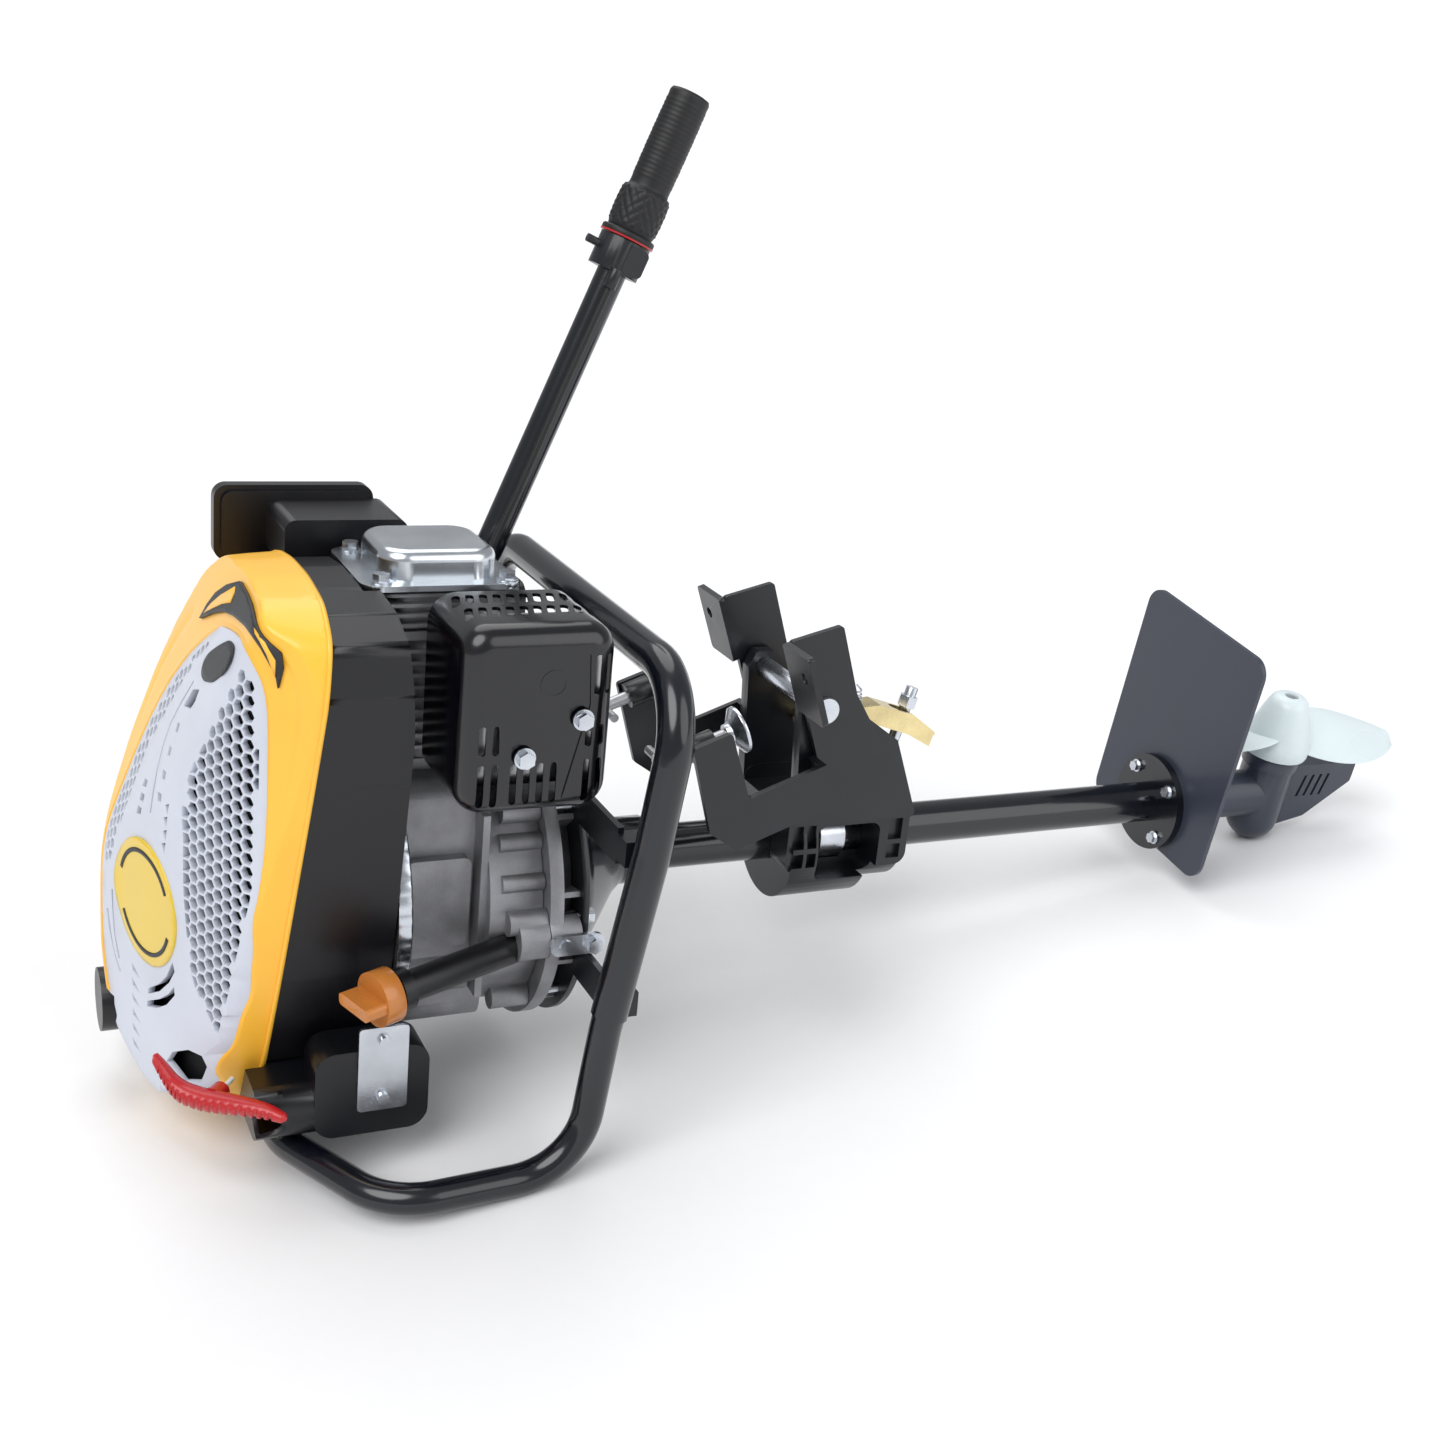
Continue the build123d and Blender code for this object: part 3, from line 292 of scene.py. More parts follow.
FRONT_FAR = ((0, 236), (30, 228), (64, 203), (92, 156), (108, 112), (112, 60), (104, 0), (90, -60),
             (68, -112), (40, -148), (0, -162))
MID_Z = 50.0                # the cover's middle, about which its outlines are polar
FRONT_X, BACK_X = -890.0, -756.0
RIM_X, RIM_Z, RIM_RISE, RIM_RUN = -804.7, -192, 41.4, 465     # the sloping line of the rim, from its foot
FACE_BLEND, EDGE_BLEND = 10.0, 20.0                           # softness of the face and of its edge


def hermite(pairs, at):
    """Smooth curve through (height, position) pairs."""
    ys = np.array([p[0] for p in pairs], float)
    xs = np.array([p[1] for p in pairs], float)
    x = np.clip(at, xs[0], xs[-1])
    i = np.clip(np.searchsorted(xs, x) - 1, 0, len(xs) - 2)
    m, h = np.gradient(ys, xs), xs[i + 1] - xs[i]
    t = (x - xs[i]) / h
    return ((2 * t**3 - 3 * t**2 + 1) * ys[i] + (t**3 - 2 * t**2 + t) * h * m[i]
            + (3 * t**2 - 2 * t**3) * ys[i + 1] + (t**3 - t**2) * h * m[i + 1])


def smooth_loop(points, n, passes):
    """n even points round a closed outline, with its corners relaxed."""
    p = np.array(points, float)
    q = np.roll(p, -1, 0)
    seg = np.hypot(*(q - p).T)
    s = np.concatenate([[0], np.cumsum(seg)])
    u = np.linspace(0, s[-1], n, endpoint=False)
    i = np.searchsorted(s, u, side="right") - 1
    t = ((u - s[i]) / seg[i])[:, None]
    r = p[i] * (1 - t) + q[i] * t
    for _ in range(passes):
        r = (np.roll(r, 1, 0) + 2 * r + np.roll(r, -1, 0)) / 4
    return r


def polar(near, far):
    """Angle and radius about the cover's middle of a closed outline."""
    loop = smooth_loop(list(far) + [(-y, z) for y, z in near[-2:0:-1]], 720, 60)
    a, r = np.arctan2(loop[:, 0], loop[:, 1] - MID_Z), np.hypot(loop[:, 0], loop[:, 1] - MID_Z)
    order = np.argsort(a)
    return a[order], r[order]


RIM_A, RIM_R = polar(RIM_NEAR, RIM_FAR)
FRONT_A, FRONT_R = polar(FRONT_NEAR, FRONT_FAR)


def rim_radius(a):
    """Radius of the rim at an angle about the cover's middle."""
    return np.interp(a, RIM_A, RIM_R, period=2 * pi)


def rim_x(z):
    return RIM_X + (z - RIM_Z) * RIM_RISE / RIM_RUN


def smooth_max(a, b, k):
    """The larger of two values, rounded over where they are within k of each other."""
    h = np.clip(0.5 + 0.5 * (a - b) / k, 0, 1)
    return b * (1 - h) + a * h + k * h * (1 - h)


def cover_x(y, z):
    """The cover's outer face over the point (y, z)."""
    y, z = np.asarray(y, float), np.asarray(z, float)
    x = smooth_max(hermite(FACE, z), hermite(PLAN, y), FACE_BLEND)
    a, r = np.arctan2(y, z - MID_Z), np.hypot(y, z - MID_Z)
    rr, fr = rim_radius(a), np.interp(a, FRONT_A, FRONT_R, period=2 * pi)
    taper = BACK_X + (FRONT_X - BACK_X) * (rr - r) / np.maximum(rr - fr, 5.0)
    return np.minimum(smooth_max(x, taper, EDGE_BLEND), rim_x(z))


def on_cover(y, z, out=0.0):
    """The point on the cover's face over (y, z), moved out along x."""
    return (float(cover_x(y, z)) - out, float(y), float(z))


# Outlines on the face, as (y, z): the grey panel and its two fields of holes.
INSERT = ((-15, 195), (-36, 201), (-68, 206), (-96, 204), (-105, 194), (-109, 178), (-110, 156), (-110, 102),
          (-109, 70), (-106, 37), (-99, -1), (-92, -37), (-80, -85), (-69, -114), (-52, -136), (-20, -150),
          (11, -149), (44, -138), (66, -112), (80, -70), (88, -30), (91, 10), (88, 46), (82, 72), (73, 105),
          (58, 134), (32, 162), (3, 183))
HEX_NEAR = ((-93, 196), (-99, 191), (-104, 176), (-105, 156), (-105, 102), (-104, 66), (-101, 37), (-94, 0),
            (-87, -37), (-77, -80), (-72, -62), (-60, -51), (-52, -35), (-48, -9), (-46, 18), (-46, 51),
            (-47, 84), (-52, 103), (-58, 119), (-66, 138), (-73, 156), (-84, 177))
HEX_FAR = ((-22, 192), (-14, 186), (4, 169), (24, 146), (38, 121), (50, 96), (56, 76), (57, 56), (57, 36),
           (60, 16), (66, -8), (76, -14), (85, 10), (83, 44), (78, 70), (69, 102), (54, 130), (29, 157),
           (2, 178), (-13, 190))
BADGE_Y, BADGE_Z, BADGE_R = 6.5, -9.0, 45.5


def inside(pt, poly):
    """Whether a point lies in a polygon."""
    hit = False
    for (y0, z0), (y1, z1) in zip(poly, poly[1:] + poly[:1]):
        if (z0 > pt[1]) != (z1 > pt[1]) and pt[0] < (y1 - y0) * (pt[1] - z0) / (z1 - z0) + y0:
            hit = not hit
    return hit


def edge_gap(pt, poly):
    """Distance of a point from a polygon's edge."""
    p = np.array(poly, float)
    q = np.roll(p, -1, 0)
    d = q - p
    t = np.clip(((pt - p) * d).sum(1) / (d * d).sum(1), 0, 1)
    return np.hypot(*((p + d * t[:, None]) - pt).T).min()


def clip(poly, window):
    """The part of a polygon that lies inside a convex window (both as lists of points)."""
    out = list(poly)
    for (ax, ay), (bx, by) in zip(window, window[1:] + window[:1]):
        src, out = out, []
        for (px, py), (qx, qy) in zip(src, src[1:] + src[:1]):
            dp = (bx - ax) * (py - ay) - (by - ay) * (px - ax)
            dq = (bx - ax) * (qy - ay) - (by - ay) * (qx - ax)
            if dp >= 0:
                out.append((px, py))
            if (dp > 0) != (dq > 0) and abs(dp - dq) > 1e-9:
                t = dp / (dp - dq)
                out.append((px + (qx - px) * t, py + (qy - py) * t))
        if len(out) < 3:
            return []
    return out


def area(poly):
    """Signed area of a polygon."""
    return 0.5 * sum(a[0] * b[1] - b[0] * a[1] for a, b in zip(poly, poly[1:] + poly[:1]))


# Distance along the domed face against y, so that the honeycomb keeps its pitch round the dome.
ARC_Y = np.linspace(-125, 125, 501)
ARC_S = np.concatenate([[0], np.cumsum(np.hypot(np.diff(ARC_Y), np.diff(cover_x(ARC_Y, ARC_Y * 0 + 60))))])


def honeycomb(region, pitch, size):
    """Hexagonal holes in upright columns over a region, cut off at its edge."""
    poly = [tuple(p) for p in smooth_loop(region, 140, 3)]
    if area(poly) < 0:
        poly.reverse()
    s0, s1 = np.interp([min(p[0] for p in poly), max(p[0] for p in poly)], ARC_Y, ARC_S)
    z0, z1 = min(p[1] for p in poly), max(p[1] for p in poly)
    holes, column, s = [], 0, s0
    while s < s1 + pitch:
        z = z0 + (pitch / 2 if column % 2 else 0)
        while z < z1 + pitch:
            cell = [(float(np.interp(s + size * cos(k * pi / 3) / 1.732, ARC_S, ARC_Y)),
                     z + size * sin(k * pi / 3) / 1.732) for k in range(6)]
            mid = (float(np.interp(s, ARC_S, ARC_Y)), z)
            whole = all(inside(p, poly) for p in cell)
            part = cell if whole else clip(poly, cell)
            if (whole or inside(mid, poly)) and len(part) > 2 and area(part) > 0.3 * area(cell):
                loop = [part[0]]
                for p in part[1:]:
                    if np.hypot(p[0] - loop[-1][0], p[1] - loop[-1][1]) > 0.3:
                        loop.append(p)
                holes.append(loop)
            z += pitch
        s += pitch * 0.866
        column += 1
    return holes


def sheet_with_holes(outline, holes, step=7.0):
    """Triangulate a flat region with holes; returns points and triangles."""
    outline = [tuple(p) for p in outline]
    pts, edges = [], []
    for loop in [outline] + holes:
        base = len(pts)
        pts += loop
        edges += [(base + i, base + (i + 1) % len(loop)) for i in range(len(loop))]
    ys, zs = [p[0] for p in outline], [p[1] for p in outline]
    centres = [(sum(p[0] for p in h) / len(h), sum(p[1] for p in h) / len(h),
                max(np.hypot(p[0] - h[0][0], p[1] - h[0][1]) for p in h)) for h in holes]
    for y in np.arange(min(ys), max(ys), step):
        for z in np.arange(min(zs), max(zs), step):
            far = all(np.hypot(y - c[0], z - c[1]) > c[2] * 0.9 for c in centres)
            if far and inside((y, z), outline) and edge_gap((y, z), outline) > 1.5:
                pts.append((y, z))
    v, _, f, *_ = delaunay_2d_cdt([Vector(p) for p in pts], edges, [], 0, 1e-4)
    keep = []
    for t in f:
        c = (sum(v[i].x for i in t) / len(t), sum(v[i].y for i in t) / len(t))
        if inside(c, outline) and not any(
                np.hypot(c[0] - h[0], c[1] - h[1]) < h[2] and inside(c, hole) for h, hole in zip(centres, holes)):
            keep.append(tuple(t))
    return [(p.x, p.y) for p in v], keep


SEAM, SEAM_PASSES = 260, 8      # points round the seam between the shell and the panel
SHELL_ROWS = 30


def cover_shell():
    """The yellow shell: from the panel's edge out to the rim, with a lip and a soft crease."""
    n, rows = SEAM, SHELL_ROWS
    loop = smooth_loop(INSERT, n, SEAM_PASSES)
    angle = np.arctan2(loop[:, 0], loop[:, 1] - MID_Z)
    start = np.hypot(loop[:, 0], loop[:, 1] - MID_Z)
    end = rim_radius(angle)
    verts = []
    for i in range(rows):
        t = 1 - (1 - i / (rows - 1)) ** 1.6
        r = start + (end - start) * t
        y, z = r * np.sin(angle), MID_Z + r * np.cos(angle)
        lip = 1.2 * np.exp(-(t / 0.03) ** 2)
        crease = 1.3 * np.exp(-((t - 0.5) / 0.05) ** 2) * np.clip((z - 70) / 90, 0, 1) * (np.abs(y) > 60)
        x = cover_x(y, z) - lip + crease
        verts += [(x[k], y[k], z[k]) for k in range(n)]
    verts += [(rim_x(z[k]), y[k], z[k]) for k in range(n)]
    return piece("cover_shell", verts, grid_faces(rows + 1, n), MATS["yellow_plastic"], solid=3.0, angle=50)


def ribbon(points, w):
    """Outline of a slot of even width along a line."""
    p = np.array(points, float)
    d = np.gradient(p, axis=0)
    n = np.stack([-d[:, 1], d[:, 0]], 1) / np.hypot(*d.T)[:, None] * (w / 2)
    return [tuple(q) for q in p + n] + [tuple(q) for q in (p - n)[::-1]]


GROOVE = ((-10, 156), (2, 137), (9, 120), (8, 105), (2, 90), (-1, 74), (-1, 60))
ARC_SLOTS = (((-34, -37), (-37, -43), (-29, -55), (-14, -69), (3, -79), (2, -74), (-14, -63), (-25, -52)),
             ((-36, -55), (-37, -61), (-25, -74), (-10, -84), (5, -90), (4, -85), (-14, -75), (-27, -65)))
LEFT_SLOTS = (((59, -22), (58, -36), (54, -54), (48, -72)), ((66, -40), (63, -54), (56, -70), (47, -82)))
LEAN_TABS = ((-11, 124), (-12, 108), (-14, 92), (-13, 76))
SHORT_TABS = ((20, 73), (19, 63), (20, 53))
SPIKES = ((-27, 74), (-25, 64), (-24, 54), (-22, 44))
POCKET = ((-24, -119), (-33, -107), (-50, -97), (-64, -95), (-69, -101), (-62, -119), (-44, -125))


def insert_holes():
    """Every opening in the grey panel: the honeycombs, the slots and the handle's pocket."""
    holes = honeycomb(HEX_NEAR, pitch=9.7, size=8.1) + honeycomb(HEX_FAR, pitch=9.0, size=7.0)
    holes += [ribbon(GROOVE, 2.4), [(-15, 152), (-30, 157), (-30, 149), (-25, 142), (-7, 138)]]
    holes += [[(y + 4, z + 3), (y - 3, z + 3.5), (y - 4, z - 2), (y + 2, z - 3)] for y, z in LEAN_TABS]
    holes += [[(y + 5, z - 3), (y + 4, z + 3), (y - 4, z + 4), (y - 4, z - 1)] for y, z in SHORT_TABS]
    holes += [[(y - 3, z + 4), (y + 3, z + 1), (y - 1, z - 5)] for y, z in SPIKES]
    holes += [list(slot) for slot in ARC_SLOTS] + [ribbon(line, 2.6) for line in LEFT_SLOTS]
    holes += [[(29, -66 - 12 * i), (15, -73 - 12 * i), (27, -72 - 12 * i)] for i in range(6)]
    return holes + [list(POCKET)]


def rib_height(y, z):
    """The middle strip stands a little above the two honeycomb fields."""
    middle, half_width = np.interp(z, (-60, 60, 190), (6, 4, -48)), np.interp(z, (60, 190), (46, 22))
    inner = np.clip((np.abs(y - middle) - half_width) / 8, 0, 1)
    return 2.2 * (1 - inner * inner * (3 - 2 * inner))


def cover_insert():
    """The silver-grey centre panel with its two honeycomb fields, and a dark sheet behind it: painted shade seen
    through its openings.
    """
    loop = [tuple(p) for p in smooth_loop(INSERT, SEAM, SEAM_PASSES)]
    flat, faces = sheet_with_holes(loop, insert_holes(), step=6.0)
    verts = [on_cover(y, z, 0.2 + float(rib_height(y, z))) for y, z in flat]
    grille = piece("cover_insert", verts, faces, MATS["grey_plastic"], solid=5.0, bevel=0.35, angle=35)
    shrunk = [(y * 0.985, MID_Z + (z - MID_Z) * 0.985) for y, z in loop]
    back, faces = sheet_with_holes(shrunk, [], step=9.0)
    # Painted shade: a near-black sheet 10 mm behind the cover's face darkens every opening in the panel.
    piece("cover_shade_screen", [on_cover(y, z, -10.0) for y, z in back], faces, PAINTED_SHADE_BLACK, solid=1.0)
    return grille


def above_cover(y, z, out):
    """The point that stands a distance off the cover, square to its face."""
    slope_y = float(cover_x(y + 1, z) - cover_x(y - 1, z)) / 2
    slope_z = float(cover_x(y, z + 1) - cover_x(y, z - 1)) / 2
    return Vector(on_cover(y, z)) + Vector((-1, slope_y, slope_z)).normalized() * out


def patch(name, outline, out, material, thick=0.8, step=5.0):
    """A thin plate that lies on the cover over an outline in (y, z)."""
    flat, faces = sheet_with_holes(outline, [], step)
    return piece(name, [above_cover(y, z, out) for y, z in flat], faces, material, solid=thick, angle=60)


def ring_sector(y, z, r0, r1, a0, a1, n=30):
    """Outline of a part of a ring between two radii and two angles in degrees."""
    out = [(y + r1 * cos(a), z + r1 * sin(a)) for a in np.linspace(radians(a0), radians(a1), n)]
    return out + [(y + r0 * cos(a), z + r0 * sin(a)) for a in np.linspace(radians(a1), radians(a0), n)]


# Outlines of the plain labels on the face, as (y, z).
CHEVRON = ((31, 186), (24, 198), (13, 209), (-7, 220), (-34, 230), (-56, 229), (-74, 227), (-88, 224), (-98, 221),
           (-106, 216), (-115, 208), (-116, 198), (-114, 185), (-113, 193), (-110, 200), (-106, 208), (-99, 213),
           (-79, 214), (-48, 211), (-20, 206), (6, 197))
INLAYS = (((22, 192), (13, 201), (-4, 212), (-30, 225), (-33, 222), (-32, 215), (-14, 209), (6, 200)),
          ((-99, 219), (-108, 213), (-113, 203), (-113, 192), (-111, 199), (-109, 206), (-105, 213), (-101, 216)))
OVAL = ((-74, 200), (-60, 199), (-40, 189), (-22, 178), (-17, 170), (-22, 164), (-34, 163), (-55, 169), (-72, 180),
        (-78, 191))

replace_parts(cover_shell(), "top_shroud")
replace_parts(cover_insert(), "shroud_grille")
circle = [(BADGE_Y + BADGE_R * cos(a), BADGE_Z + BADGE_R * sin(a)) for a in np.linspace(0, 2 * pi, 73)[:-1]]
patch("badge_disc", circle, 3.4, BADGE_YELLOW, thick=2.4, step=4.0)
for i, (a0, a1) in enumerate(((20, 150), (200, 330))):
    arc = ring_sector(BADGE_Y, BADGE_Z, BADGE_R - 10, BADGE_R - 7, a0, a1)
    patch(f"badge_arc_{i}", arc, 3.9, STICKER_DARK, thick=0.7, step=3.0)
patch("chevron_label", CHEVRON, 2.4, STICKER_DARK, thick=2.4, step=2.0)
for i, inlay in enumerate(INLAYS):
    patch(f"chevron_inlay_{i}", inlay, 3.0, MATS["yellow_plastic"], thick=1.4, step=2.0)
patch("oval_label", [tuple(p) for p in smooth_loop(OVAL, 48, 3)], 2.9, STICKER_DARK, thick=0.9)

# ---------------------------------------------------------------- starter handle and rope
HANDLE = Vector((-834, -102, -107))
ALONG, OUT = Vector((0.72, -0.66, -0.2)).normalized(), Vector((-0.62, -0.78, 0.0)).normalized()
HANDLE_LINE = ((-47, -13), (-38, -6), (-29, 1), (-20, 4), (-5, 2), (10, -2.5), (28, -8.5), (42, -12), (56, -13))
HANDLE_WIDTH = (3.6, 5.6, 6.6, 7.6, 8.2, 8.0, 6.8, 5.6, 3.4)


def starter_handle():
    """A bowed bar with a row of ribs along its outer face."""
    third = ALONG.cross(OUT).normalized()
    rows, n, rings = 150, 28, []
    line = np.array(HANDLE_LINE, float)
    step = np.linspace(0, len(line) - 1, rows + 1)
    at = [np.interp(step, range(len(line)), col) for col in (*line.T, HANDLE_WIDTH)]
    for _ in range(40):
        at = [np.concatenate([c[:1], (c[:-2] + 2 * c[1:-1] + c[2:]) / 4, c[-1:]]) for c in at]
    for i, (s, t, w) in enumerate(zip(*at)):
        cap = min(1.0, 0.35 + 0.2 * min(i, rows - i))
        groove = 1.3 if (i % 7) in (2, 3, 4) and 12 < i < rows - 8 else 0.0
        ring = []
        for k in range(n):
            a = 2 * pi * k / n
            r = w * cap - groove * max(0.0, cos(a - 0.9)) ** 0.5
            ring.append(HANDLE + ALONG * s + OUT * (r * cos(a)) + third * (t + r * 0.95 * sin(a)))
        rings.append(ring)
    return piece("pull_handle", *capped(rings), MATS["red_plastic"], "handle", angle=32)


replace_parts(starter_handle(), "starter_handle")
lathe("pull_stem", HANDLE - OUT * 16, OUT, [(0, 4.5), (1, 6.2), (8, 6.6), (14, 8)], MATS["red_plastic"],
      "handle", n=32)
rope = tube("pull_rope", [HANDLE - OUT * (16 + 0.5 * i) for i in range(29)], 1.8, MATS["nylon"], body=None, n=10)
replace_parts(rope, "starter_rope")
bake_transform(rope)

# ---------------------------------------------------------------- tiller grip
# s is the distance from the fold's pivot up the tiller.
KNURL_FROM, KNURL_TO, RIBS_FROM, RIBS_TO = 272, 297, 306, 366
TILLER = Matrix.Translation((-609.5, 75, 204)) @ Matrix.Rotation(radians(21.8), 4, "Y")
tiller_at = TILLER @ Vector((0, 0, 0))
tiller_up = (TILLER @ Vector((0, 0, 1)) - tiller_at).normalized()


def knurl(s, a):
    """Diamond knurling round the twist collar."""
    if not KNURL_FROM < s < KNURL_TO:
        return 0.0
    u, v = a * 17, (s - KNURL_FROM) / 2.6
    return 0.55 * (abs(sin(u / 2 + v)) + abs(sin(u / 2 - v))) - 0.5


def ribs(s):
    """Fine rings along the hand grip."""
    return 0.25 if RIBS_FROM < s < RIBS_TO and sin(s * 1.9) > 0 else 0.0


profile = [(262.8, 12), (262.8, 19.5), (263.6, 20.2), (267, 20.2), (268, 19.4), (268.2, 17.0), (270, 17.4)]
profile += [(KNURL_FROM + 0.5 * i, 18.0 + 0.5 * sin(pi * i / 50)) for i in range(51)]
profile += [(299, 17.4), (300, 15.4), (302, 15.0)] + [(304 + i, 15.0 + 0.3 * sin(pi * i / 64)) for i in range(65)]
profile += [(371, 15.2), (373.4, 14.2), (374, 12)]
grip_obj = lathe("twist_grip", tiller_at, tiller_up, profile, MATS["rubber"], "grip", n=140,
                 wave=lambda s, a: knurl(s, a) + ribs(s), angle=60)
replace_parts(grip_obj, "throttle_grip")
lathe("grip_ring", tiller_at, tiller_up, [(262.65, 15), (262.65, 20.4), (263.9, 20.5), (263.9, 15)],
      MATS["red_plastic"], "grip", n=80)

# ---------------------------------------------------------------- propeller
ROLL = radians(9)
PROP_AXIS = Vector((0, -sin(ROLL), cos(ROLL)))
PROP_X = 122.0
BLADE_FOOT, BLADE_LENGTH, BLADE_HEIGHT = 16, 102, 58


def blade(turn):
    """One broad blade with pitch, camber and a rounded tip."""
    rows, cols = 22, 19
    grids = []
    for side in (1, -1):
        for i in range(rows):
            s = i / (rows - 1)
            r = BLADE_FOOT + BLADE_LENGTH * s
            half = 43 * (sin(pi * (0.16 + 0.80 * s)) ** 0.62) * (1 if s < 0.97 else 0.7)
            twist = radians(34 - 24 * s)
            for j in range(cols):
                c = -1 + 2 * j / (cols - 1)
                thick = (2.6 - 1.7 * s) * (1 - c * c) ** 0.5 + 0.25
                t, h = half * c * cos(twist), half * c * sin(twist) * 0.42
                h += 3.0 * (1 - c * c) * s + side * thick
                grids.append(Vector((r * cos(turn) - t * sin(turn), r * sin(turn) + t * cos(turn),
                                     BLADE_HEIGHT + h)))
    faces = grid_faces(rows, cols, False)
    off = rows * cols
    faces += [tuple(off + i for i in reversed(f)) for f in faces]
    edge = ([i * cols for i in range(rows)] + [(rows - 1) * cols + j for j in range(1, cols)]
            + [i * cols + cols - 1 for i in range(rows - 2, -1, -1)])
    faces += [(edge[k], edge[k + 1], off + edge[k + 1], off + edge[k]) for k in range(len(edge) - 1)]
    roll = Matrix.Rotation(ROLL, 4, "X")
    return [roll @ (p + Vector((PROP_X, 0, 0))) for p in grids], faces


prop_verts, prop_faces = [], []
for turn in (radians(-6), radians(174)):
    v, f = blade(turn)
    prop_faces += [tuple(i + len(prop_verts) for i in face) for face in f]
    prop_verts += v
blades = piece("propeller_blades", prop_verts, prop_faces, MATS["nylon"], "prop", angle=50)
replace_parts(blades, "propeller")
hub_profile = [(42.6, 7), (42.6, 26), (43.4, 28.6), (46, 29.6), (54, 30), (57, 29.2), (66, 26.6), (82, 21.5),
               (91, 18.5), (95.5, 16), (98, 12.5), (98.4, 6.2), (90, 6.1)]
lathe("propeller_hub", (PROP_X, 0, 0), PROP_AXIS, hub_profile, MATS["nylon"], "prop", n=72, angle=35)
lathe("propeller_nut", (PROP_X, 0, 0), PROP_AXIS, [(90, 0.5), (90, 5.8), (96.5, 5.8), (97.3, 5), (97.3, 0.5)],
      MATS["zinc"], "prop", n=24)

# ---------------------------------------------------------------- muffler guard
GUARD_X, GUARD_Z, GUARD_FRONT, GUARD_BACK = (-691, -588), (104, 231), -156, -72
GUARD_CORNER, GUARD_DRAW = 19.0, 15
PANEL = ((-658, 0, 214), (-608, 0, 212), (-606, 0, 178), (-622, 0, 112), (-664, 0, 112))
# Front slots, as (x, z, length).
GUARD_SLOTS = ((-655, 126, 28), (-646, 126, 28), (-637, 126, 28), (-628, 126, 28), (-677, 126, 30),
               (-668, 126, 30), (-606, 126, 30), (-597, 126, 30), (-677, 157, 20), (-668, 157, 20),
               (-606, 155, 11), (-597, 157, 14), (-602, 198, 27), (-594, 198, 27))


def prism(outline, base, depth):
    """A closed bar: an outline of points swept by the vector depth, starting at base."""
    lo = [Vector(base) + Vector(p) for p in outline]
    return capped([lo, [p + Vector(depth) for p in lo]])


def stadium(u, v, length, width, n=8):
    """Round-ended slot outline in the plane of the unit vectors u and v."""
    half = (length - width) / 2
    ends = [(half, -pi / 2), (-half, pi / 2)]
    return [Vector(u) * (c + width / 2 * cos(a0 + pi * k / n)) + Vector(v) * (width / 2 * sin(a0 + pi * k / n))
            for c, a0 in ends for k in range(n + 1)]


def carve(obj, bars):
    """Cut a set of closed bars out of an object."""
    verts, faces = [], []
    for v, f in bars:
        faces += [tuple(i + len(verts) for i in face) for face in f]
        verts += v
    tool = piece("cutter", verts, faces, PAINTED_SHADE_BLACK, body=None, smooth=False)
    cut = obj.modifiers.new("cut", "BOOLEAN")
    cut.object, cut.operation, cut.solver, cut.use_self = tool, "DIFFERENCE", "EXACT", True
    done = bpy.data.meshes.new_from_object(obj.evaluated_get(bpy.context.evaluated_depsgraph_get()))
    obj.modifiers.clear()
    obj.data = done
    bpy.data.objects.remove(tool)
    done.shade_smooth()
    done.set_sharp_from_angle(angle=radians(35))


def guard_ring(y, inset):
    """Rounded rectangle of the guard at one depth."""
    (x0, x1), (z0, z1) = GUARD_X, GUARD_Z
    r, pts = GUARD_CORNER, []
    for cx, cz, a0 in ((x1 - r, z1 - r, 0), (x0 + r, z1 - r, 90), (x0 + r, z0 + r, 180), (x1 - r, z0 + r, 270)):
        for k in range(9):
            a = radians(a0 + 90 * k / 8)
            pts.append(Vector((cx + (r - inset) * cos(a), y, cz + (r - inset) * sin(a))))
    return pts


def muffler_guard():
    """Deep-drawn cover with wide corners, vent slots and a dished mounting panel."""
    rings = [guard_ring(GUARD_BACK, 0), guard_ring(-100, 0), guard_ring(-128, 0)]
    rings += [guard_ring(GUARD_FRONT + GUARD_DRAW * (1 - sin(radians(a))), GUARD_DRAW * (1 - cos(radians(a))))
              for a in range(0, 91, 10)]
    n = len(rings[0])
    verts = [v for ring in rings for v in ring]
    faces = grid_faces(len(rings), n) + [tuple(range((len(rings) - 1) * n, len(rings) * n))]
    shell = piece("guard_cover", verts, faces, MATS["guard_enamel"], solid=2.2, angle=35)
    dish = prism([Vector(p) for p in PANEL], (0, GUARD_FRONT - 6, 0), (0, 7, 0))
    bars = [prism(stadium((0, 0, 1), (1, 0, 0), long, 4.6), (x, GUARD_FRONT - 8, z), (0, 14, 0))
            for x, z, long in GUARD_SLOTS]
    for y in (-90, -118):
        bars += [prism(stadium((0.25, 1, 0), (1, -0.25, 0), 19, 5.2), (-678 + 9.2 * i, y, GUARD_Z[1] - 8),
                       (0, 0, 16)) for i in range(10)]
    carve(shell, [dish])
    carve(shell, bars)
    edge = shell.modifiers.new("edge", "BEVEL")
    edge.width, edge.segments, edge.limit_method, edge.angle_limit = 0.6 * MM, 2, "ANGLE", radians(35)
    turned = [(-1.2, 7.4), (-1.2, 9.4), (0.7, 9.4), (0.7, 7.4), (-1.2, 7.4)]
    lathe("guard_emboss", (-631, -154.6, 193), (0, -1, 0), turned, MATS["guard_enamel"], n=48)
    return shell


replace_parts(muffler_guard(), "muffler_guard")

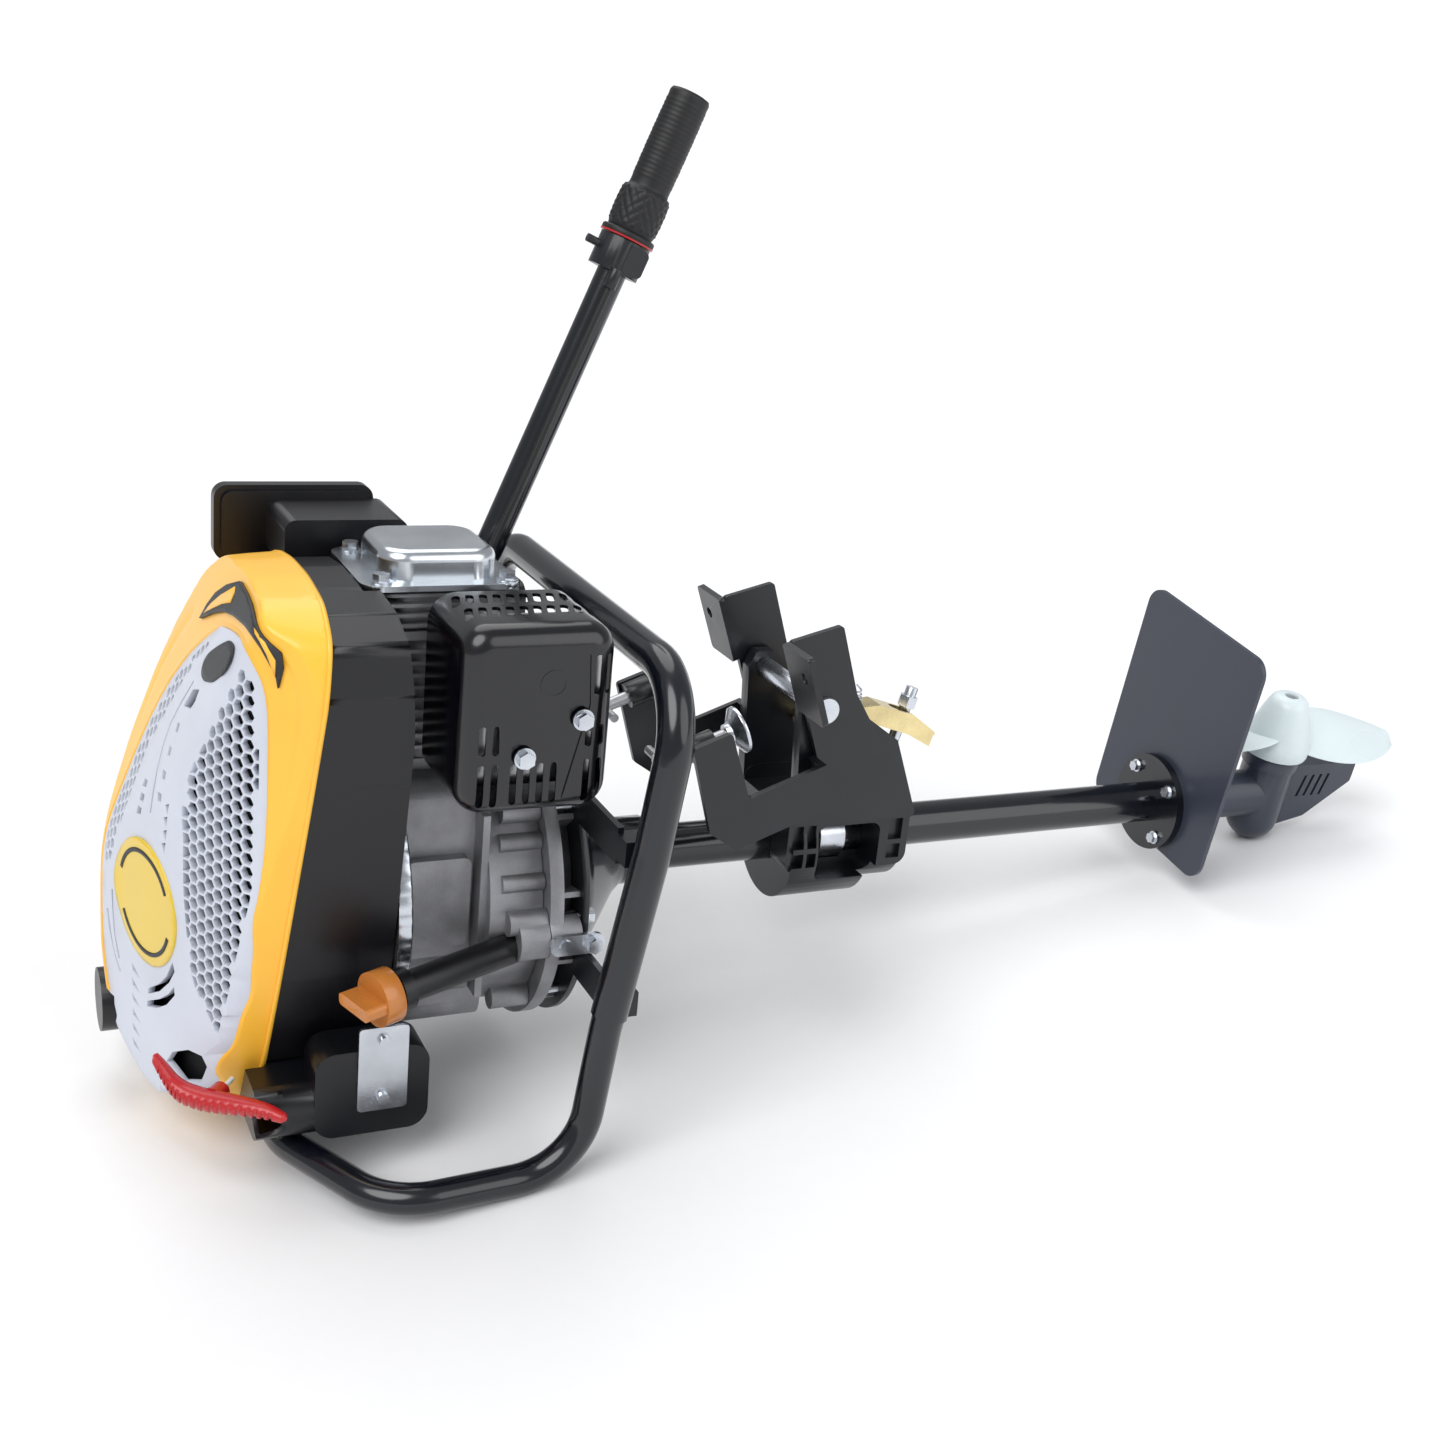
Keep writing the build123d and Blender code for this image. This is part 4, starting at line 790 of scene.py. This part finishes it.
# ---------------------------------------------------------------- lever spring
SPRING_FOOT, SPRING_TOP = Vector((-334, -34, 102)), Vector((-338, -34, 136))
SPRING_TURNS, SPRING_R, WIRE_R = 9, 3.6, 0.75
STEPS = SPRING_TURNS * 16
coils = [SPRING_FOOT - Vector((0, 0, 2))]
for i in range(STEPS + 1):
    a = 2 * pi * SPRING_TURNS * (i / STEPS)
    base = SPRING_FOOT.lerp(SPRING_TOP, 0.08 + 0.84 * (i / STEPS))
    coils.append(base + Vector((SPRING_R * cos(a), SPRING_R * sin(a), 0)))
coils.append(SPRING_TOP + Vector((0, 0, 1)))
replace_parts(tube("lever_coil", coils, WIRE_R, MATS["zinc"], "lever", n=8), "lever_spring")

# ---------------------------------------------------------------- flywheel cover band
profile = [(0, 99), (0.6, 104.4), (2, 105.2), (9, 105.2), (10.5, 103.5), (10.5, 99)]
lathe("flywheel_band", (-711.4, 0, 0), (1, 0, 0), profile, MATS["zinc"], n=180,
      wave=lambda s, a: 0.7 * cos(60 * a) if 1 < s < 10 else 0.0)

# ---------------------------------------------------------------- floor, lights, camera
FLOOR_SIZE, VIEW_LIMIT = 900, 2000     # metres: the floor's edge stays out of the picture
bpy.ops.mesh.primitive_plane_add(size=FLOOR_SIZE)
floor = bpy.context.object
floor.name = "floor"
floor.data.materials.append(finish("floor_pale", (0.86, 0.86, 0.87), 0.6, vary=0.015, patch=2, grain=60,
                                   bump=0.0, specular=0.15))

# The camera's axes in the motor's frame, and the motor's origin as the camera sees it, in mm.
RIGHT = Vector((0.9045, -0.4156, 0.0957))
DOWN = Vector((-0.0561, -0.3385, -0.9393))
AHEAD = Vector((0.4228, 0.8442, -0.3295))
OFFSET = Vector((381.83, 69.22, 1599.11))
eye = -(RIGHT * OFFSET.x + DOWN * OFFSET.y + AHEAD * OFFSET.z)
turn = Matrix((RIGHT, -DOWN, -AHEAD)).transposed()
camera = bpy.data.objects.new("camera", bpy.data.cameras.new("camera"))
camera.data.sensor_width = 36
camera.data.lens = 44.84
camera.data.clip_end = VIEW_LIMIT
camera.matrix_world = Matrix.Translation(PLACE @ eye) @ (
    Matrix.Rotation(PITCH, 3, "Y") @ turn).to_4x4()
bpy.context.scene.collection.objects.link(camera)
bpy.context.scene.camera = camera

# Lights, as (name, towards the light, strength, spread in degrees).
LIGHTS = (("key", (-1.3, -1.1, 2.2), 1.9, 45), ("fill", (1.6, -2.0, 1.2), 0.9, 50),
          ("back", (0.4, 1.4, 2.4), 1.1, 50))
for name, towards, power, spread in LIGHTS:
    sun = bpy.data.lights.new(name, "SUN")
    sun.energy, sun.angle = power, radians(spread)
    lamp = bpy.data.objects.new(name, sun)
    lamp.rotation_euler = (-Vector(towards)).to_track_quat("-Z", "Y").to_euler()
    bpy.context.scene.collection.objects.link(lamp)
world = bpy.data.worlds.new("studio")
world.use_nodes = True
world.node_tree.nodes["Background"].inputs["Color"].default_value = (0.95, 0.97, 1, 1)
world.node_tree.nodes["Background"].inputs["Strength"].default_value = 0.42
bpy.context.scene.world = world
bpy.context.scene.view_settings.view_transform = "Standard"
